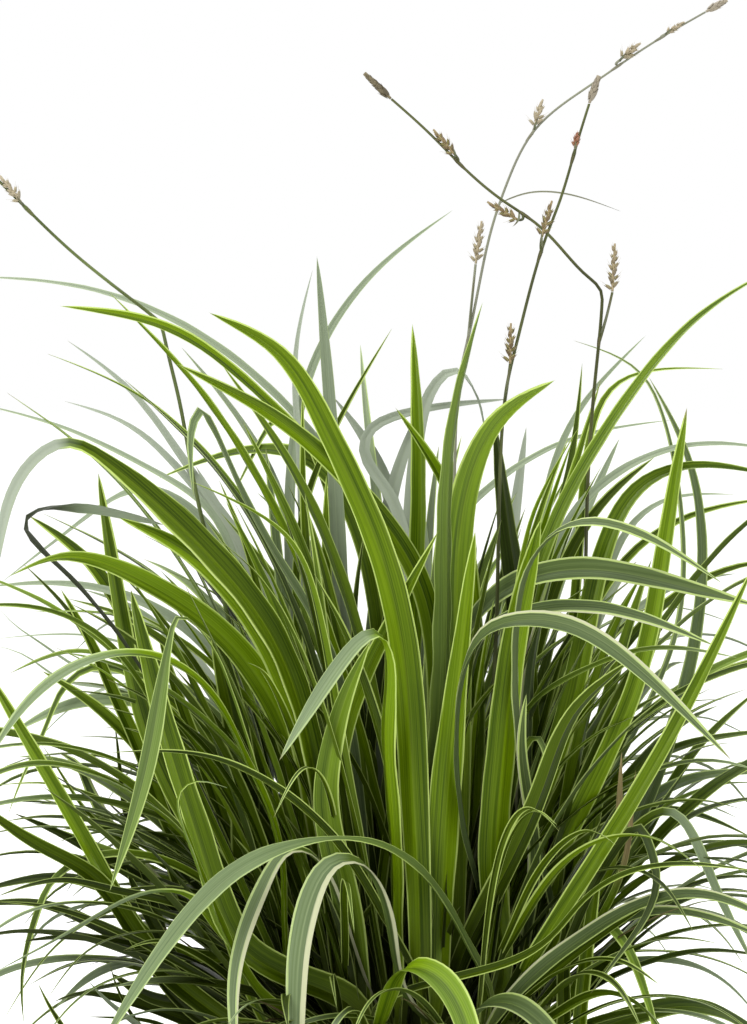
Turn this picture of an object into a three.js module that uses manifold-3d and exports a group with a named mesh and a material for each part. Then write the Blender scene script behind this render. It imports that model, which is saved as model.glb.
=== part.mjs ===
// Variegated carex sedge: a clump of leafy shoots with flowering culms, in a plain round growers' pot.
// Millimetres, +Z up. The origin is the centre of the pot's flat base, on the surface that it stands on.
// The front of the plant is towards -Y.

import * as THREE from 'three';
import { mergeVertices } from 'three/addons/utils/BufferGeometryUtils.js';
import { OBB } from 'three/addons/math/OBB.js';
import Module from 'manifold-3d';

const wasm = await Module();
wasm.setup();

// ---------------------------------------------------------------- driving dimensions

const GAP = 0.3; // between pieces that touch
const POT_HEIGHT = 150;
const POT_RIM = 92; // outer radius at the top
const POT_BASE = 66; // outer radius at the foot
const POT_WALL = 2.6;
const POT_FLOOR = 3.2;
const BAND_HEIGHT = 17; // the thicker band under the rim
const BAND_STEP = 2.6;
const POT_SIDES = 32;
const DRAIN = { count: 6, radius: 4.5, circle: 42 };

const SOIL_TOP = 138;
const SOIL_SIDES = 20;

const SHOOT_COUNT = 32;
const CLUMP_RADIUS = 50;
const CLUMP_LEAN = 0.22; // sideways travel per unit of height at the clump's edge
const SHEATH = { sides: 5, radius: 4.3, neck: 3.9, height: 34, buried: 12 };
const LEAF_COUNT = 198;
const KEEL = 1.3; // thickness of a leaf along its middle
const PINCHED = 0.7; // least half width of a leaf in a tight bend
const RING_GAP = 0.4; // between a ring of a leaf and the plane of the next
const FOOT_TURN = THREE.MathUtils.degToRad(65); // of the foot of a leaf that heads sideways, to the front
const LEAF_CLEARANCE = 0.3; // kept on each side of a leaf while it finds its place
const CULM_CLEARANCE = 0.5;
const SHEATH_CLEARANCE = 0.6;
const SPIKE_ROOM = 4; // radius kept free round a spike
const POT_CLEARANCE = 3; // between a leaf and the pot
const GROUND_CLEARANCE = 12;
const CURVE_SAMPLES = 90; // points that a curve is measured with

// The routes of leaves and culms are drawn as an eye in front of the plant sees them.
const EYE = { distance: 1900, elevation: THREE.MathUtils.degToRad(4), x: -15.7, z: 248.5 };

const UP = new THREE.Vector3(0, 0, 1);
const TO_FRONT = new THREE.Vector3(0, -1, 0);
const GOLDEN_ANGLE = Math.PI * (3 - Math.sqrt(5));

// ---------------------------------------------------------------- routes chosen by hand

// Leaves that show: width, depth of the tip (+ is away from the front), how many degrees the upper face is
// turned to the front towards the tip, then x, z pairs from foot to tip, with x from the pot's axis and z
// from the soil. Where the angle is negative, the underside shows.
const DRAWN_LEAVES = [
  // broad arching leaves in front
  [8, -60, -25, 19, 150, 20, 215, 23, 252, 32, 277, 44, 295, 62, 305],
  [10, -150, 40, -35, 100, -48, 165, -65, 207, -90, 234, -120, 262, -148, 278, -168, 263, -178, 222],
  [11, -135, 20, -4, 45, -10, 75, -20, 97, -32, 98, -42, 84, -47, 60, -49, 35, -47, -10],
  [8, -125, 20, -15, 30, -28, 75, -42, 101, -52, 103, -64, 86, -72, 65, -76, 42, -74, 5],
  [7.5, -150, 35, 35, 40, 25, 62, 10, 88, -10, 104, -30, 108, -50, 105, -70, 97, -90, 80, -110, 55, -135, 15],
  [9, -125, 20, -8, 40, 0, 53, 12, 49, 22, 34, 28, 15, 30, -15],
  [9, -115, 25, 28, 33, 38, 38, 47, 36, 55, 30, 75, 5],
  [8, -125, 30, -5, 80, -8, 120, -10, 160, -9, 185, -14, 196, -24, 191, -35, 175, -46, 156, -56, 142],
  [9, -70, 10, 9, 60, 11, 120, 14, 180, 15, 230, 18, 275, 22, 310, 31, 338],
  [8, -80, 10, 13, 60, 14, 100, 17, 140, 21, 180, 25, 215, 28, 240],
  [9, -82, 10, 39, 45, 37, 80, 37, 115, 40, 150, 44, 185, 50, 220, 56, 245],
  [8, -80, -25, -30, 60, -32, 110, -31, 140, -25, 165, -15, 188, -5, 206, 3, 222, 12, 240],
  [8, -110, 50, 18, 160, 30, 206, 48, 219, 70, 224, 92, 222, 112, 218, 130, 212, 150, 208],
  [6.5, -100, 45, 22, 150, 32, 195, 50, 205, 72, 208, 92, 205, 110, 199, 131, 191],
  [6, -120, 45, 20, 140, 29, 194, 45, 201, 65, 201, 82, 194, 98, 181, 118, 163, 138, 142],
  [8, -120, -30, 50, 52, 68, 80, 85, 107, 102, 136, 118, 164, 132, 192, 148, 226],
  [8, -140, 40, -58, 115, -72, 145, -88, 173, -108, 186, -130, 187, -155, 175, -172, 158, -184, 138],
  [5.5, -140, 35, -70, 150, -88, 195, -100, 203, -105, 180, -113, 140, -121, 108, -129, 86],
  [6.5, -100, -35, -50, 165, -60, 190, -75, 211, -90, 226, -108, 240, -125, 246],
  [5.5, -120, -35, -48, 140, -60, 168, -75, 190, -90, 204, -105, 214, -130, 225, -155, 229, -172, 221],
  [6.5, -90, -35, -5, 205, -18, 245, -33, 278, -48, 307, -65, 324, -86, 334],
  [6, -110, -35, 8, 208, -10, 241, -40, 276, -70, 296, -100, 312],
  [5, -100, 35, -5, 215, -30, 262, -55, 290, -80, 312, -105, 328, -150, 337],
  // upright and arching leaves through the middle
  [5, -110, 40, 45, 180, 55, 232, 70, 243, 87, 243, 105, 236, 120, 227, 134, 218],
  [6, -30, 10, 0, 140, 2, 190, 4, 230, 4, 270, 3, 300, 1, 329],
  [6, -40, 20, 47, 70, 50, 120, 50, 160, 54, 195, 62, 225],
  [9, -45, 20, 48, 180, 44, 225, 41, 250, 38, 275, 36, 290],
  [5, -50, 15, 27, 200, 22, 240, 14, 263, 4, 279, -6, 293],
  [6, -100, -30, 35, 140, 52, 215, 72, 264, 90, 292, 108, 314, 128, 336, 145, 348, 158, 354],
  [7, -90, -35, 65, 150, 80, 220, 92, 250, 105, 264, 120, 268, 145, 266, 165, 262],
  [4.5, 60, 35, 52, 180, 68, 243, 85, 262, 103, 272, 120, 277, 145, 277, 165, 274],
  [6, -80, -15, 96, 170, 103, 200, 108, 225, 112, 250, 116, 275, 119, 293],
  [5, 50, 30, 95, 110, 120, 180, 126, 222, 124, 250, 118, 278, 103, 306],
  [5, 30, 10, 48, 180, 60, 235, 70, 272, 74, 312],
  [5, -30, 20, 52, 190, 64, 245, 76, 285, 82, 305],
  [5, -50, 25, 44, 190, 52, 243, 62, 268, 72, 284],
  [5, -90, 35, 42, 140, 56, 170, 75, 180, 95, 188, 115, 190, 140, 186],
  [8, -50, -20, 55, 125, 66, 155, 80, 173, 95, 185],
  [10, -60, -25, 70, 80, 77, 125, 85, 150, 95, 175, 108, 200],
  [6, -20, 15, 40, 80, 41, 130, 46, 180, 52, 220, 60, 250, 70, 280],
  [4.5, -70, -30, -35, 180, -42, 215, -48, 232, -60, 242, -80, 253, -95, 262],
  [5, -60, 40, -32, 183, -50, 213, -68, 248, -82, 276, -90, 292, -94, 278, -93, 255],
  [6, 40, 10, -30, 200, -32, 250, -35, 300, -40, 340, -40, 358],
  [4.5, 80, 30, -55, 140, -68, 166, -80, 182, -95, 197, -110, 207, -135, 215, -160, 219, -185, 216],
  [4.5, -90, 35, -105, 155, -120, 180, -135, 196, -150, 204, -176, 209, -200, 207],
  [5, 60, 35, -75, 145, -90, 160, -112, 166, -135, 167, -155, 163, -172, 153],
  [4, -50, -20, -108, 140, -118, 175, -125, 208, -131, 240, -134, 265],
  [4.5, 80, 30, -100, 150, -112, 180, -122, 200, -135, 223, -148, 236, -164, 247],
  [4, 40, 20, -110, 130, -125, 165, -137, 188, -150, 211, -166, 226],
  [10, -40, -20, -70, 60, -85, 92, -97, 125, -106, 158, -112, 180, -120, 215],
  [9, -50, -15, -68, 80, -71, 120, -74, 150, -85, 200],
  [5.5, -80, 35, -90, 130, -110, 172, -130, 198, -150, 224, -166, 244, -158, 250, -140, 248, -106, 243],
  // low leaves that spread and hang over the rim
  [5, -60, -30, -105, 60, -128, 86, -138, 106, -150, 127, -166, 150, -176, 168, -185, 185],
  [6, -30, 35, -100, 45, -122, 72, -140, 95, -160, 105, -176, 116, -195, 130],
  [4.5, 70, 25, -80, 65, -96, 85, -108, 92, -125, 101, -145, 110, -164, 116],
  [4, -90, -35, -75, 62, -93, 82, -105, 85, -120, 83, -135, 75, -148, 66, -163, 57, -178, 51],
  [4, -100, 35, -110, 75, -140, 88, -154, 82, -163, 62, -169, 44, -168, 27],
  [4, 40, 25, -120, 62, -140, 74, -155, 79, -176, 80, -195, 78],
  [4, 90, 35, -110, 78, -130, 88, -150, 91, -170, 89, -190, 84],
  [4, -40, 25, -105, 33, -118, 37, -130, 40, -143, 41, -153, 38],
  [6, -90, 35, -68, 45, -80, 68, -90, 90, -98, 118, -99, 128, -92, 133, -79, 130],
  [5, -90, 35, 50, 47, 68, 61, 88, 74, 106, 82, 124, 84, 145, 78, 165, 68],
  [4, -60, 30, 52, 46, 72, 60, 92, 73, 108, 77, 125, 75, 145, 70, 160, 62],
  [4, -110, 35, 55, 60, 70, 78, 88, 90, 105, 96, 125, 95, 150, 94],
  [5, -90, 30, 75, 80, 90, 106, 98, 113, 104, 102, 106, 88, 101, 74, 90, 58, 78, 42],
  [4.5, -60, 30, 85, 95, 103, 117, 113, 119, 122, 104, 132, 86, 141, 66, 150, 50],
  [6, 20, 35, 80, 26, 100, 33, 120, 36, 138, 31, 158, 18],
  [4, 60, 30, 85, 105, 105, 120, 120, 119, 133, 115, 148, 108],
  [6, 60, 35, 80, 95, 100, 122, 120, 133, 140, 137, 165, 136],
  [4.5, 50, 30, 75, 105, 95, 136, 115, 147, 135, 151, 160, 155],
  [5, 80, 30, 85, 85, 105, 120, 120, 142, 135, 158, 152, 174],
  [5, -20, 25, 74, 45, 76, 60, 74, 90, 78, 110],
  // thin pale leaves at the back
  [4, 120, 30, -15, 235, -30, 262, -45, 285, -70, 309, -100, 330, -150, 347, -195, 350],
  [4, 110, 25, -52, 250, -44, 305, -30, 333, -5, 362, 18, 378],
  [4, 90, 20, -47, 240, -47, 290, -49, 322, -42, 352],
  [4, 60, 20, -48, 235, -38, 268, -25, 300, -8, 327],
  [4, 110, 30, -50, 235, -66, 277, -85, 303, -98, 319],
  [4, 120, 30, -70, 230, -90, 260, -110, 288, -130, 311, -147, 322],
  [4, 130, 30, -60, 215, -85, 250, -100, 267, -112, 279, -130, 291, -148, 296],
  [4, 110, 30, -80, 240, -105, 262, -130, 277, -160, 288, -190, 296],
  [4, 100, 35, -62, 190, -90, 245, -115, 258, -145, 242, -176, 218],
  [4, 100, 30, -15, 220, -35, 265, -55, 275, -80, 273, -108, 263],
  [4, 90, 25, 0, 250, 6, 290, 13, 306, 20, 309, 27, 302, 33, 278],
  [4, 100, 35, 0, 220, -10, 258, -20, 276, -15, 286, 0, 291, 15, 293, 42, 297],
  [8, 110, 45, -5, 235, -10, 262, -15, 272, -25, 290, -33, 298],
  [6, 100, 20, -12, 220, -8, 255, 0, 282, 8, 300],
  [4, 110, 35, 75, 180, 92, 238, 105, 251, 120, 256, 139, 256],
  [4, 90, 30, 70, 200, 78, 280, 88, 303, 105, 308, 134, 310],
  [4, 60, 25, 115, 200, 110, 285, 101, 306, 88, 316, 71, 322],
  [4, 100, 25, 62, 270, 82, 304, 101, 324],
  [4, 110, 30, 14, 232, 30, 255, 55, 273, 80, 283, 112, 288],
];

// Flowering culms: where each stands in the clump, the depth of its upper part, and its route from the soil.
// A spike has its own route; where it stands off the culm, its stalk starts at the point 'off'.
const CULMS = [
  {
    name: 'left',
    root: [-33, 16],
    depth: 66,
    route: [
      -60, 120, -80, 210, -91, 252, -99, 295, -103, 312, -107, 329,
      -120, 340, -145, 360, -165, 379, -177, 391,
    ],
    spikes: [
      { kind: 'pollen', route: [-177, 391, -190, 402] },
      { kind: 'seed', route: [-166, 384.5, -176, 397.5], off: [-160, 374] },
    ],
  },
  {
    name: 'front',
    root: [40, -10],
    depth: 26,
    route: [
      70, 150, 76, 250, 79, 300, 82, 325, 82.5, 340, 80, 347,
      70, 356, 56, 371, 39, 383, 21.5, 398, 8.6, 411, -8, 426,
    ],
    spikes: [
      { kind: 'pollen', route: [-8, 426, -20.5, 438] },
      { kind: 'seed', route: [20.5, 403.5, 9.5, 415.5], off: [24, 395.8] },
      { kind: 'seed', route: [46.5, 372.5, 33, 381.5], off: [52, 374.1] },
      { kind: 'seed', route: [87, 343, 88.2, 365.5], off: [81.5, 322] },
    ],
  },
  {
    name: 'middle',
    root: [18, -24],
    depth: -74,
    route: [
      34, 150, 38, 240, 40, 290, 42, 305, 46, 322, 50, 338,
      58, 365.5, 64.5, 382.7, 72.2, 408.5, 77, 424,
    ],
    spikes: [
      { kind: 'pollen', route: [77, 424, 81.5, 437] },
      { kind: 'seed', route: [68.5, 407, 71, 417], off: [68.5, 396.5] },
      { kind: 'seed', route: [55.5, 369, 60, 386], off: [54.2, 353] },
      { kind: 'seed', route: [43, 312, 43.4, 331], off: [40.3, 293], aside: -5 },
    ],
  },
  {
    name: 'back',
    root: [6, 32],
    depth: 92,
    route: [
      14, 150, 19, 260, 22, 310, 25.8, 327, 34.4, 368, 41.7, 390,
      53.8, 413, 77.4, 432, 103, 449.4, 127, 463.5,
    ],
    spikes: [
      { kind: 'pollen', route: [127, 463.5, 137, 469] },
      { kind: 'seed', route: [28.2, 355, 31, 375], off: [25, 323] },
      { kind: 'seed', route: [53, 417, 56.5, 429.5], off: [49, 405.3] },
      { kind: 'seed', route: [90, 445.5, 100, 453.5], off: [83, 436.2] },
      { kind: 'seed', route: [110.5, 458, 119, 463.5], off: [105, 450.8] },
    ],
    bract: [38, 381, 50, 385.5, 66, 385.5, 90, 378],
  },
];

// ---------------------------------------------------------------- small helpers

const vector = (x, y, z) => new THREE.Vector3(x, y, z);
const mix = THREE.MathUtils.lerp;
const smooth = THREE.MathUtils.smoothstep;

/** Seeded draws between two limits (the Mulberry32 generator). */
function draws(seed) {
  let state = seed;
  return (low, high) => {
    state = (state + 0x6d2b79f5) | 0;
    let mixed = Math.imul(state ^ (state >>> 15), 1 | state);
    mixed = (mixed + Math.imul(mixed ^ (mixed >>> 7), 61 | mixed)) ^ mixed;
    return mix(low, high, ((mixed ^ (mixed >>> 14)) >>> 0) / 4294967296);
  };
}

/** The point at depth y that the eye sees at x, z of the upright plane through the pot's axis. */
function seen(x, z, y) {
  const ahead = vector(0, Math.cos(EYE.elevation), -Math.sin(EYE.elevation));
  const above = vector(0, Math.sin(EYE.elevation), Math.cos(EYE.elevation));
  const eye = vector(EYE.x, 0, EYE.z + SOIL_TOP).addScaledVector(ahead, -EYE.distance);
  const ray = ahead.clone().multiplyScalar(EYE.distance).addScaledVector(above, z - EYE.z);
  ray.x += x - EYE.x;
  return eye.clone().addScaledVector(ray, (y - eye.y) / ray.y);
}

/** Pairs of a flat list of numbers. */
function pairs(numbers) {
  return Array.from({ length: numbers.length / 2 }, (_, i) => [numbers[2 * i], numbers[2 * i + 1]]);
}

/** A closed three.js geometry as a manifold solid. */
function solid(geometry) {
  const bare = new THREE.BufferGeometry();
  bare.setAttribute('position', geometry.getAttribute('position'));
  bare.setIndex(geometry.getIndex());
  const merged = mergeVertices(bare, 1e-4);
  const vertProperties = merged.getAttribute('position').array;
  const triVerts = Uint32Array.from(merged.getIndex().array);
  return new wasm.Manifold(new wasm.Mesh({ numProp: 3, vertProperties, triVerts }));
}

/** A manifold solid as a named mesh. */
function piece(name, body, material) {
  const { vertProperties, triVerts } = body.getMesh();
  const geometry = new THREE.BufferGeometry();
  geometry.setAttribute('position', new THREE.BufferAttribute(vertProperties, 3));
  geometry.setIndex(new THREE.BufferAttribute(triVerts, 1));
  geometry.computeVertexNormals();
  const mesh = new THREE.Mesh(geometry, material);
  mesh.name = name;
  return mesh;
}

// ---------------------------------------------------------------- stations and skins

/**
 * Stations along a route: each has its point, the direction along, the face's normal and the way across.
 * The face looks 'roll' radians away from the bend's normal: at a quarter turn it looks over the outside of
 * the bend, as the upper face of a leaf does.
 */
function stationsOn(points, bendNormal, rollAt) {
  return points.map((point, i) => {
    const before = points[Math.max(i - 1, 0)];
    const after = points[Math.min(i + 1, points.length - 1)];
    const along = vector(0, 0, 0);
    if (i > 0) along.add(point.clone().sub(before).normalize());
    if (i < points.length - 1) along.add(after.clone().sub(point).normalize());
    along.normalize();
    const sideways = bendNormal.clone().addScaledVector(along, -bendNormal.dot(along)).normalize();
    const outside = sideways.clone().cross(along);
    const roll = rollAt(i / (points.length - 1));
    const facing = sideways.multiplyScalar(Math.cos(roll)).addScaledVector(outside, Math.sin(roll));
    const across = facing.clone().cross(along);
    return { point, along, facing, across };
  });
}

/**
 * A closed skin over stations: rings of a cylinder, or of a cone where the last station is a point. Each ring
 * is stretched to 'half' across and 'deep' along the face's normal; its first corner looks away from it.
 */
function skin(sides, stations, pointed = false) {
  const steps = stations.length - 1;
  const geometry = pointed
    ? new THREE.ConeGeometry(1, 1, sides, steps)
    : new THREE.CylinderGeometry(1, 1, 1, sides, steps);
  const position = geometry.getAttribute('position');
  for (let i = 0; i < position.count; i += 1) {
    const corner = vector(position.getX(i), 0, position.getZ(i));
    corner.normalize();
    const station = stations[Math.round((position.getY(i) + 0.5) * steps)];
    const place = station.point.clone();
    place.addScaledVector(station.across, corner.x * station.half);
    place.addScaledVector(station.facing, -corner.z * station.deep);
    position.setXYZ(i, place.x, place.y, place.z);
  }
  return geometry;
}

/** Splits the upper face of a leaf's cone as the faces under it are, so that a twist can't cross them. */
function splitAlike(geometry, steps) {
  const index = geometry.getIndex();
  const upperFace = 2 * steps - 1; // the first triangle of the side that lies opposite the keel
  for (let row = 1; row < steps; row += 1) {
    const first = 3 * (upperFace + 2 * row - 1);
    const [a, b, d, c] = [0, 1, 2, 4].map((k) => index.getX(first + k));
    [a, b, c, a, c, d].forEach((corner, k) => index.setX(first + k, corner));
  }
  return geometry;
}

/** The corners of a three-sided ring: two edges and the keel. */
function ringCorners(station) {
  const { point, across, facing, half, deep } = station;
  const reach = half * Math.sin(Math.PI / 3);
  const raised = point.clone().addScaledVector(facing, deep / 2);
  const edges = [1, -1].map((side) => raised.clone().addScaledVector(across, side * reach));
  return [...edges, point.clone().addScaledVector(facing, -deep)];
}

/** Points along a curve, closer together in bends: 'bendWorth' is the length that one radian counts for. */
function spacedPoints(curve, step, bendWorth, fewest, most) {
  const samples = curve.getPoints(CURVE_SAMPLES);
  const cost = [0];
  for (let i = 1; i < samples.length; i += 1) {
    const chord = samples[i].clone().sub(samples[i - 1]);
    const next = samples[Math.min(i + 1, samples.length - 1)].clone().sub(samples[i]);
    const turn = next.lengthSq() > 0 ? chord.angleTo(next) : 0;
    cost.push(cost[i - 1] + chord.length() + turn * bendWorth);
  }
  const total = cost[cost.length - 1];
  const count = THREE.MathUtils.clamp(Math.round(total / step), fewest, most);
  return Array.from({ length: count + 1 }, (_, k) => {
    const wanted = (k / count) * total;
    const i = Math.max(1, cost.findIndex((value) => value >= wanted - 1e-6));
    const share = (wanted - cost[i - 1]) / (cost[i] - cost[i - 1]);
    return samples[i - 1].clone().lerp(samples[i], THREE.MathUtils.clamp(share, 0, 1));
  });
}

// ---------------------------------------------------------------- room for leaves

/** The box that holds everything between two rings, turned along them and grown by the clearance. */
function boxBetween(first, second, clearance) {
  const along = second.point.clone().sub(first.point).normalize();
  const across = first.across.clone().add(second.across);
  across.addScaledVector(along, -across.dot(along)).normalize();
  const facing = along.clone().cross(across);
  const corners = [...first.corners, ...second.corners];
  const low = vector(Infinity, Infinity, Infinity);
  const high = low.clone().negate();
  for (const corner of corners) {
    const local = vector(corner.dot(along), corner.dot(across), corner.dot(facing));
    low.min(local);
    high.max(local);
  }
  const middle = low.clone().add(high).multiplyScalar(0.5);
  const size = high.sub(low).multiplyScalar(0.5).addScalar(clearance);
  const centre = vector(0, 0, 0);
  centre.addScaledVector(along, middle.x).addScaledVector(across, middle.y).addScaledVector(facing, middle.z);
  const turn = new THREE.Matrix3();
  turn.set(along.x, across.x, facing.x, along.y, across.y, facing.y, along.z, across.z, facing.z);
  return new OBB(centre, size, turn);
}

/** Turned boxes along stations, with the box around them all. */
function roomOf(stations, owner, clearance) {
  const parts = stations.slice(1).map((station, i) => {
    const box = boxBetween(stations[i], station, clearance);
    return { box, reach: box.halfSize.length(), foot: i === 0 };
  });
  const around = new THREE.Box3();
  for (const station of stations) station.corners.forEach((corner) => around.expandByPoint(corner));
  return { owner, parts, around: around.expandByScalar(clearance) };
}

/** Whether two rooms meet; the feet of leaves on one shoot may. */
function roomsMeet(a, b) {
  if (!a.around.intersectsBox(b.around)) return false;
  const kin = a.owner === b.owner;
  return a.parts.some((first) => b.parts.some((second) => {
    if (kin && first.foot && (second.foot || b.trunk)) return false;
    if (first.box.center.distanceTo(second.box.center) > first.reach + second.reach) return false;
    return first.box.intersectsOBB(second.box);
  }));
}

const taken = []; // rooms of culms, spikes, sheaths and leaves so far

/** Outer radius of the pot at a height, its band included. */
function potRadius(z) {
  const wall = mix(POT_BASE, POT_RIM - BAND_STEP, THREE.MathUtils.clamp(z / POT_HEIGHT, 0, 1));
  return z > POT_HEIGHT - BAND_HEIGHT - 2 ? POT_RIM : wall;
}

/** Whether a point is in the pot or its soil, or too close to either or to the ground. */
function blocked(point) {
  const radius = Math.hypot(point.x, point.y);
  if (point.z < GROUND_CLEARANCE) return true;
  if (point.z > POT_HEIGHT + POT_CLEARANCE) return false;
  if (radius > potRadius(point.z) + POT_CLEARANCE) return false;
  const inside = radius < POT_RIM - POT_WALL - BAND_STEP - 2 * POT_CLEARANCE;
  const soilCrest = SOIL_TOP + 3.5;
  return !(inside && point.z > soilCrest);
}

/** Whether a leaf's rings and the stretches between them keep clear of the pot, the soil and the ground. */
function keepsClear(stations) {
  return stations.every((station, i) => {
    if (i < 2) return true;
    const previous = stations[i - 1];
    return [0, 0.25, 0.5, 0.75].every((share) => station.corners.every((corner, k) => {
      const other = previous.corners[Math.min(k, previous.corners.length - 1)];
      return !blocked(corner.clone().lerp(other, share));
    }));
  });
}

// ---------------------------------------------------------------- leaves

// How a drawn leaf finds its place: the shoots that it tries, and what may change until it crosses nothing.
const SEARCH = {
  shoots: 14,
  freeLeaves: 3, // what a shoot carries before each further leaf makes it less wanted
  leafCost: 5, // what each of those counts for, in mm of distance
  mostLeaves: 9,
  highUp: 100, // a first point this high over the soil stands well out from its shoot's foot
  inwardHigh: 0.55, // the foot's x over the first point's, where that is high up
  inwardLow: 0.8,
  depthShare: 0.5, // the foot's depth over the tip's
  deepest: 38,
  depthCost: 0.6, // what a mm of depth counts for, beside one of width
  swing: 0.12, // radians
  shrinks: [1, 0.8, 0.62],
  depths: [0, 8, -8, 16, -16, 26, -26, 38, -38, 50, -50],
  eases: [1.3, 0.8, 2], // powers of the way gone at which the depth changes
  narrowest: 3.4,
  leastShown: 0.62, // of a leaf's width
};

// How leaves leave their shoot: tall ones out of the top of its sheath, low ones out of its side.
const START = {
  sunk: 5, // how far under the sheath's top a leaf starts
  offset: 2, // from the axis
  lowOffset: 1.4,
  lowHeight: 14, // at most
  lowShare: 0.3, // of the first drawn point's height
  tallFrom: SHEATH.height + 14, // height of the first drawn point over which a leaf counts as tall
  guide: { height: 12, offset: 5 }, // a point over the sheath that a tall leaf passes
};

// Free leaves: lengths, and in radians how far they lean at the foot and how much more they bend by the tip.
const FREE = {
  upright: { length: [230, 350], lean: [0.08, 0.28], bend: [0.3, 1.3] },
  arching: { length: [200, 310], lean: [0.25, 0.5], bend: [1.0, 2.1] },
  low: { length: [130, 220], lean: [0.6, 0.95] },
  uprightBelow: 0.5, // habit
  lowAbove: 1.05,
  edgeHabit: 0.45, // added to the habit at the clump's edge
  frontShorter: 0.28,
  drift: 0.35,
  power: [1.5, 2.4],
  width: [4, 8.5],
  lowWidth: 0.8,
  tipTurn: 0.65,
  footTurn: 0.8,
  lowStart: 9,
  spread: [2.4, 1.1], // of the heading, in the clump's middle and at its edge
};

/** Width of a leaf along its length: narrow at the foot, fullest below the middle, with a long fine tip. */
function leafOutline(share) {
  const swell = 0.32 + 0.42 * smooth(share, 0, 0.12) + 0.26 * smooth(share, 0.1, 0.4);
  return swell * (1 - share ** 3.1) ** 0.85;
}

/** Gives a leaf's station its width and its ring: two edges, and the keel on the lower side. */
function shapeRing(station, half) {
  station.half = half / Math.sin(Math.PI / 3);
  station.deep = Math.min(KEEL, 0.5 + half * 0.5) / 1.5;
  station.corners = ringCorners(station);
}

/** Whether two rings of a leaf keep apart: neither reaches through the plane of the other. */
function ringsApart(a, b) {
  const ahead = b.corners.every((corner) => corner.clone().sub(a.point).dot(a.along) > RING_GAP);
  return ahead && a.corners.every((corner) => b.point.clone().sub(corner).dot(b.along) > RING_GAP);
}

/** Whether a leaf's skin is sound: its rings keep apart, and none is twisted far from the one before. */
function isSound(stations) {
  return stations.slice(1).every((station, i) => {
    const before = stations[i];
    const swing = before.across.angleTo(station.across) * Math.min(before.half, station.half);
    return ringsApart(before, station) && swing < 2 * KEEL;
  });
}

/**
 * Stations of a leaf: three-cornered rings that end in a point. The upper face looks over the outside of the
 * bend, turned out of it by one angle at the foot and another from the middle on. Rings in a tight bend are
 * pinched until they keep apart.
 */
function leafStations(route, width, bendNormal, [footTurn, tipTurn]) {
  const curve = new THREE.CatmullRomCurve3(route, false, 'centripetal');
  const points = spacedPoints(curve, 66, 72, 5, 8);
  const turnAt = (share) => mix(footTurn, tipTurn, smooth(share, 0.05, 0.75));
  const stations = stationsOn(points, bendNormal, (share) => Math.PI / 2 + turnAt(share));
  const lengths = points.slice(1).map((point, i) => point.distanceTo(points[i]));
  const total = lengths.reduce((sum, length) => sum + length, 0);
  const halves = [];
  let travelled = 0;
  for (const length of lengths) {
    halves.push((width / 2) * leafOutline(travelled / total));
    travelled += length;
  }
  halves.forEach((half, i) => shapeRing(stations[i], half));
  Object.assign(stations[lengths.length], { half: 0, deep: 0, corners: [points[lengths.length]] });
  for (let i = 1; i < lengths.length; i += 1) {
    while (!ringsApart(stations[i - 1], stations[i]) && halves[i] > PINCHED) {
      for (const k of i > 1 ? [i - 1, i] : [i]) {
        halves[k] = Math.max(halves[k] * 0.85, PINCHED);
        shapeRing(stations[k], halves[k]);
      }
    }
  }
  return stations;
}

/** A leaf as a solid. */
function leafSolid(stations) {
  return solid(splitAlike(skin(3, stations, true), stations.length - 1));
}

/** The level direction square to a route's heading, on the left of it. */
function bendNormalOf(route) {
  const heading = route[route.length - 1].clone().sub(route[0]).setZ(0).normalize();
  return heading.cross(UP);
}

/** The share of a leaf's width that shows from the front, averaged over its stations. */
function shownShare(stations) {
  return stations.reduce((sum, station) => sum + Math.abs(station.facing.y), 0) / stations.length;
}

/** Claims the room for a leaf on a shoot, or returns false where something is in its way. */
function placeLeaf(shoot, stations) {
  if (!isSound(stations) || !keepsClear(stations)) return false;
  const room = roomOf(stations, shoot, LEAF_CLEARANCE);
  if (taken.some((other) => roomsMeet(room, other))) return false;
  taken.push(room);
  shoot.leaves.push(stations);
  return true;
}

/** A point on a shoot's axis at a height over the soil, moved towards a heading. */
function onShoot(shoot, height, heading, offset) {
  const point = shoot.foot.clone().addScaledVector(shoot.lean, height);
  point.z = SOIL_TOP + height;
  return point.addScaledVector(heading, offset);
}

/** The route of a drawn leaf: up its shoot's sheath, then through the drawn points as the depth changes. */
function drawnRoute(shoot, drawn, tipDepth, ease) {
  const first = drawn[0];
  const tip = drawn[drawn.length - 1];
  const heading = vector(tip[0] - shoot.foot.x, tipDepth - shoot.foot.y, 0).normalize();
  const tall = first[1] > START.tallFrom;
  const neck = SHEATH.height * shoot.scale;
  const lowest = Math.min(START.lowHeight, first[1] * START.lowShare);
  const [height, offset] = tall ? [neck - START.sunk, START.offset] : [lowest, START.lowOffset];
  const route = [onShoot(shoot, height, heading, offset)];
  if (tall) route.push(onShoot(shoot, neck + START.guide.height, heading, START.guide.offset));
  const reach = [Math.hypot(first[0] - shoot.foot.x, first[1])];
  for (let i = 1; i < drawn.length; i += 1) {
    reach.push(reach[i - 1] + Math.hypot(drawn[i][0] - drawn[i - 1][0], drawn[i][1] - drawn[i - 1][1]));
  }
  drawn.forEach(([x, z], i) => {
    const depth = mix(shoot.foot.y, tipDepth, (reach[i] / reach[reach.length - 1]) ** ease);
    route.push(seen(x, z, depth));
  });
  return route;
}

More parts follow.
